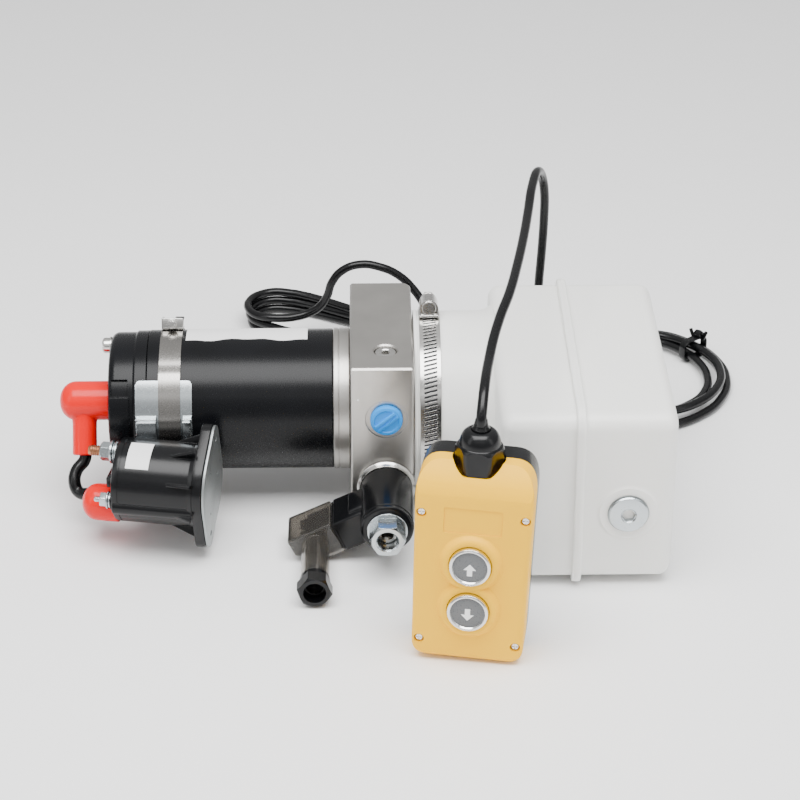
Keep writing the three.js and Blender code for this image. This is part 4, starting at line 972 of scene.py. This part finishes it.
def clamp_band():
    """A worm-drive clamp: the strip has slanting slots all round."""
    inner, outer = NECK_R + 0.3, NECK_R + 1.4
    x0, x1 = 14.7, 31.0
    slot_x0, slot_x1 = 17.8, 27.9
    pitch = 2.9
    slant = 3.4
    shape = bmesh.new()
    stations = [x0, slot_x0, slot_x1, x1]
    layers = []
    angles = []
    count = int(360 / pitch)
    for i in range(count):
        angles += [i * 360 / count, (i + 0.46) * 360 / count]
    for radius in (inner, outer):
        grid = []
        for angle in angles:
            line = []
            for x in stations:
                lean = slant * (x - (x0 + x1) / 2) / (x1 - x0)
                a = math.radians(angle + lean)
                line.append(shape.verts.new((x, -radius * math.cos(a), radius * math.sin(a))))
            grid.append(line)
        layers.append(grid)
    below, above = layers
    total = len(angles)
    for i in range(total):
        j = (i + 1) % total
        for column in range(3):
            if column == 1 and i % 2 == 0:
                for a, b in (((i, 1), (i, 2)), ((j, 1), (j, 2)), ((i, 1), (j, 1)), ((i, 2), (j, 2))):
                    shape.faces.new([below[a[0]][a[1]], below[b[0]][b[1]], above[b[0]][b[1]],
                                     above[a[0]][a[1]]])
                continue
            for grid in layers:
                shape.faces.new([grid[i][column], grid[j][column], grid[j][column + 1], grid[i][column + 1]])
        for column in (0, 3):
            shape.faces.new([below[i][column], below[j][column], above[j][column], above[i][column]])
    piece("band", faced(shape), "steel", ["clamp_band"])
    # Painted shade: a thin dark ring laid just over the neck under the slots, standing for the shade seen
    # through them.
    slot_shade = ring(inner - 0.25, inner - 0.02, x0 + 1, x1 - 1, "x", 128)
    piece("band_slot_shade", slot_shade, "steel", material=EXTRA["painted_shade_steel"])

    seat = outer + 0.3
    centre = (x0 + x1) / 2
    bridge = cut(moved(rod(7.4, -10, 9, "y", 64), centre, 0, seat + 5.6),
                 cuboid(x0 - 5, x1 + 5, -20, 20, seat - 8, seat + 0.2))
    foot = cuboid(x0 + 0.3, x1 - 0.3, -13, 11, seat, seat + 1.6, 0.4)
    worm = moved(threaded(6.4, -11.5, 11, 2.4, "y"), centre, 0, seat + 6.8)
    head = moved(cut(hexagon(10, 11, 17.5, "y", 0, 0.6), cuboid(-6, 6, 15.8, 19, -0.7, 0.7)),
                 centre, 0, seat + 6.8)
    flange = moved(rod(6.3, 10.6, 11.8, "y", 48, 0.3), centre, 0, seat + 6.8)
    piece("worm", turned_by(merge(bridge, foot, worm, head, flange), -10, "X"), "steel", ["clamp_screw"])


# ---------------------------------------------------------------- pendant
HEIGHT, TOP_HALF, LOW_HALF, DEPTH = 154.0, 42.25, 40.25, 48.0
SPLIT_Y, CREASE = 3.0, 131.0
BUTTONS = {"button_up": 80.5, "button_down": 43.0}
BUTTON_R = 15.2
GLAND_START, GLAND_HEX_END = 145.5, 165.0


def bend(p0, p1, p2, steps=10):
    points = []
    for i in range(1, steps + 1):
        t = i / steps
        points.append(tuple((1 - t) ** 2 * a + 2 * t * (1 - t) * b + t * t * c
                            for a, b, c in zip(p0, p1, p2)))
    return points


def pendant_outline(inset):
    top, low = TOP_HALF - inset, LOW_HALF - inset
    right = [(low - 10, inset)]
    right += bend((low - 10, inset), (low, inset), (low + 0.4, inset + 11))
    right += [(top, HEIGHT - 24)]
    right += bend((top, HEIGHT - 24), (top, HEIGHT - inset), (top - 17, HEIGHT - inset))
    return right + [(-x, z) for x, z in reversed(right)]


def slab(inset, y0, y1, rounding=0.0, steps=6):
    """A pendant slab whose front edge, at y0, is rounded over."""
    shape = bmesh.new()
    layers = [(y1, 0.0)]
    for i in range(steps + 1):
        a = math.radians(90.0 * i / steps)
        layers.append((y0 + rounding * (1 - math.sin(a)), rounding * (1 - math.cos(a))))
    if rounding == 0:
        layers = [(y1, 0.0), (y0, 0.0)]
    rings = [[shape.verts.new((x, y, z)) for x, z in pendant_outline(inset + extra)]
             for y, extra in layers]
    shape.faces.new(rings[0])
    shape.faces.new(rings[-1])
    join_loops(shape, rings)
    return faced(shape)


def pendant_front():
    front = -DEPTH / 2
    nose = bend((front, CREASE - 3), (front, CREASE + 4), (front + 4.5, CREASE + 11), 8)
    brow = bend((front + 4.5, CREASE + 11), (front + 9, CREASE + 17.5), (front + 18, HEIGHT + 1), 8)
    side = [(SPLIT_Y, -1), (front, -1), (front, CREASE - 3)] + nose + brow + [(SPLIT_Y, HEIGHT + 1)]
    body = combine(slab(0, front, SPLIT_Y + 4, 4.2), [prism(side, -60, 60, "x")], "INTERSECT")
    recess = prism(rounded_box(-20.8, 20.8, 104, 124, 1.2, 4), front - 1, front + 0.6, "y")
    pocket = rod(19.0, GLAND_START - 0.3, 175, "z", 96)
    stem = rod(11.5, 120, 150, "z", 48)
    wells = [moved(rod(3.7, 20.5, 26, "front", 40), x, 0, z) for x, z in SCREWS]
    holes = [moved(rod(BUTTON_R + 0.4, 10, 40, "front", 72), 0, 0, z) for z in BUTTONS.values()]
    shell = cut(body, recess, pocket, stem, *wells, *holes)
    collars = []
    for z in BUTTONS.values():
        base = -front
        profile = [[BUTTON_R + 0.4, base - 1], [23.4, base - 0.3], [22.4, base + 0.5], [21.2, base + 2.4],
                   [20.0, base + 3.7], [18.8, base + 4.3], [BUTTON_R + 1.2, base + 4.4],
                   [BUTTON_R + 0.4, base + 4.0]]
        collars.append(moved(turned(profile, "front", 128), 0, 0, z))
    piece("pendant_shell", merge(shell, *collars), "yellow_plastic", ["pendant_front"], place=PENDANT)
    lining = cuboid(-34, 34, -8, 2, 8, 120)
    piece("pendant_lining", lining, "black_plastic", place=PENDANT)


SCREWS = [(-37.0, 118.0), (37.0, 118.0), (-35.0, 14.0), (35.0, 14.0)]


def pendant_screws():
    heads = []
    for x, z in SCREWS:
        head = turned([[0, 18], [3.2, 18], [3.2, 21.6], [2.4, 22.4], [0, 22.7]], "front", 32)
        cross = [cuboid(-2.2, 2.2, -24, -21.6, -0.4, 0.4), cuboid(-0.4, 0.4, -24, -21.6, -2.2, 2.2)]
        heads.append(moved(cut(head, *cross), x, 0, z))
    piece("pendant_screws", merge(*heads), "steel", place=PENDANT, material=EXTRA["silver"])


def pendant_back():
    back = DEPTH / 2
    body = slab(0, 0, back - SPLIT_Y - 0.3, 4.2)
    body.transform(Matrix.Translation((0, back, 0)) @ Matrix.Scale(-1, 4, (0, 1, 0)))
    pocket = rod(19.0, GLAND_START - 0.3, 175, "z", 96)
    lip = slab(1.0, SPLIT_Y - 0.5, SPLIT_Y + 1.0)
    piece("pendant_rear", merge(cut(faced(body), pocket), lip), "black_plastic", ["pendant_back"],
          place=PENDANT)


def arrow(upward):
    """An arrow in X and Z, about 9 mm tall, pointing up or down."""
    points = [(-1.9, -4.6), (1.9, -4.6), (1.9, 0.2), (4.6, 0.2), (0, 5.0), (-4.6, 0.2), (-1.9, 0.2)]
    sign = 1 if upward else -1
    return [(x, sign * z) for x, z in points]


def buttons():
    proud = DEPTH / 2 + 7.6
    for name, z in BUTTONS.items():
        rim = turned([[12.0, 18], [BUTTON_R, 18], [BUTTON_R, proud - 1.8], [BUTTON_R - 0.5, proud - 0.6],
                      [BUTTON_R - 1.5, proud], [BUTTON_R - 2.4, proud - 0.2], [12.0, proud - 1.4]],
                     "front", 128)
        face = turned([[0, 18], [12.2, 18], [12.2, proud - 1.6], [9, proud - 1.15], [5, proud - 0.9],
                       [0, proud - 0.8]], "front", 128)
        stem = rod(5, 15, 18.5, "front", 32)
        mark = prism(arrow(name == "button_up"), proud - 1.2, proud - 0.72, "front")
        piece(f"{name}_cap", moved(merge(face, stem), 0, 0, z), "grey_plastic", [name],
              body=name, place=PENDANT)
        piece(f"{name}_rim", moved(rim, 0, 0, z), "grey_plastic", body=name, place=PENDANT,
              material=EXTRA["silver"])
        piece(f"{name}_arrow", moved(mark, 0, 0, z - 2.0 if name == "button_up" else z - 1.0),
              "grey_plastic", body=name, place=PENDANT, material=EXTRA["white"])


def gland():
    start, hex_end = GLAND_START, GLAND_HEX_END
    blank = hexagon(32, start, hex_end - 1, "z", 0)
    rounder = turned([[0, start], [17.2, start], [17.6, start + 1], [17.6, hex_end - 3], [15.6, hex_end],
                      [0, hex_end]], "z")
    dome_profile = [[0, start], [15.4, start + 1], [15.4, hex_end - 0.5]]
    for degrees in range(0, 81, 8):
        a = math.radians(degrees)
        dome_profile.append([7.4 + 7.4 * math.cos(a), hex_end + 11.0 * math.sin(a)])
    dome_profile += [[8.2, GLAND_TOP], [7.0, GLAND_TOP], [6.2, GLAND_TOP - 1.6], [0, GLAND_TOP - 1.6]]
    piece("gland_nut", merge(combine(blank, [rounder], "INTERSECT"), turned(dome_profile, "z")),
          "black_plastic", ["pendant_gland_nut"], place=PENDANT)


motor()
through_bolts()
motor_label()
manifold_block()
block_fittings()
solenoid_valve()
plug_connector()
start_relay()
saddle()
strap()
jumper()
tank()
clamp_band()
pendant_front()
pendant_screws()
pendant_back()
buttons()
gland()

# ---------------------------------------------------------------- floor and light


def stage():
    bpy.ops.mesh.primitive_plane_add(size=40, location=(0, 0, -0.0004))
    floor = bpy.context.object
    floor.name = "floor"
    paint(floor, finish("pale floor", (0.94, 0.94, 0.94), 0.6, grain=30, wobble=0.01, edge=0))


def lamp(name, size, power, place, target=(0, 0, 0.08)):
    data = bpy.data.lights.new(name, "AREA")
    data.shape = "RECTANGLE"
    data.size, data.size_y = size
    data.energy = power
    obj = bpy.data.objects.new(name, data)
    bpy.context.scene.collection.objects.link(obj)
    obj.location = place
    obj.rotation_euler = (Vector(target) - Vector(place)).to_track_quat("-Z", "Y").to_euler()


def light():
    world = bpy.data.worlds.new("soft room")
    world.use_nodes = True
    tree = world.node_tree
    coordinates = tree.nodes.new("ShaderNodeTexCoord")
    split = tree.nodes.new("ShaderNodeSeparateXYZ")
    ramp = tree.nodes.new("ShaderNodeMapRange")
    ramp.inputs["From Min"].default_value = 0.0
    ramp.inputs["From Max"].default_value = 0.9
    ramp.inputs["To Min"].default_value = 0.45
    ramp.inputs["To Max"].default_value = 0.9
    tree.links.new(coordinates.outputs["Generated"], split.inputs["Vector"])
    tree.links.new(split.outputs["Z"], ramp.inputs["Value"])
    tree.links.new(ramp.outputs["Result"], tree.nodes["Background"].inputs["Strength"])
    tree.nodes["Background"].inputs["Color"].default_value = (1, 1, 1, 1)
    bpy.context.scene.world = world
    lamp("overhead", (1.8, 1.0), 60, (0.0, -0.4, 1.6))
    lamp("left", (0.5, 1.2), 4, (-1.4, -0.7, 0.9))
    lamp("right", (0.4, 1.2), 3, (1.4, -0.7, 0.8))
    lamp("front", (1.8, 0.3), 1.5, (0.0, -1.5, 1.15))


stage()
light()
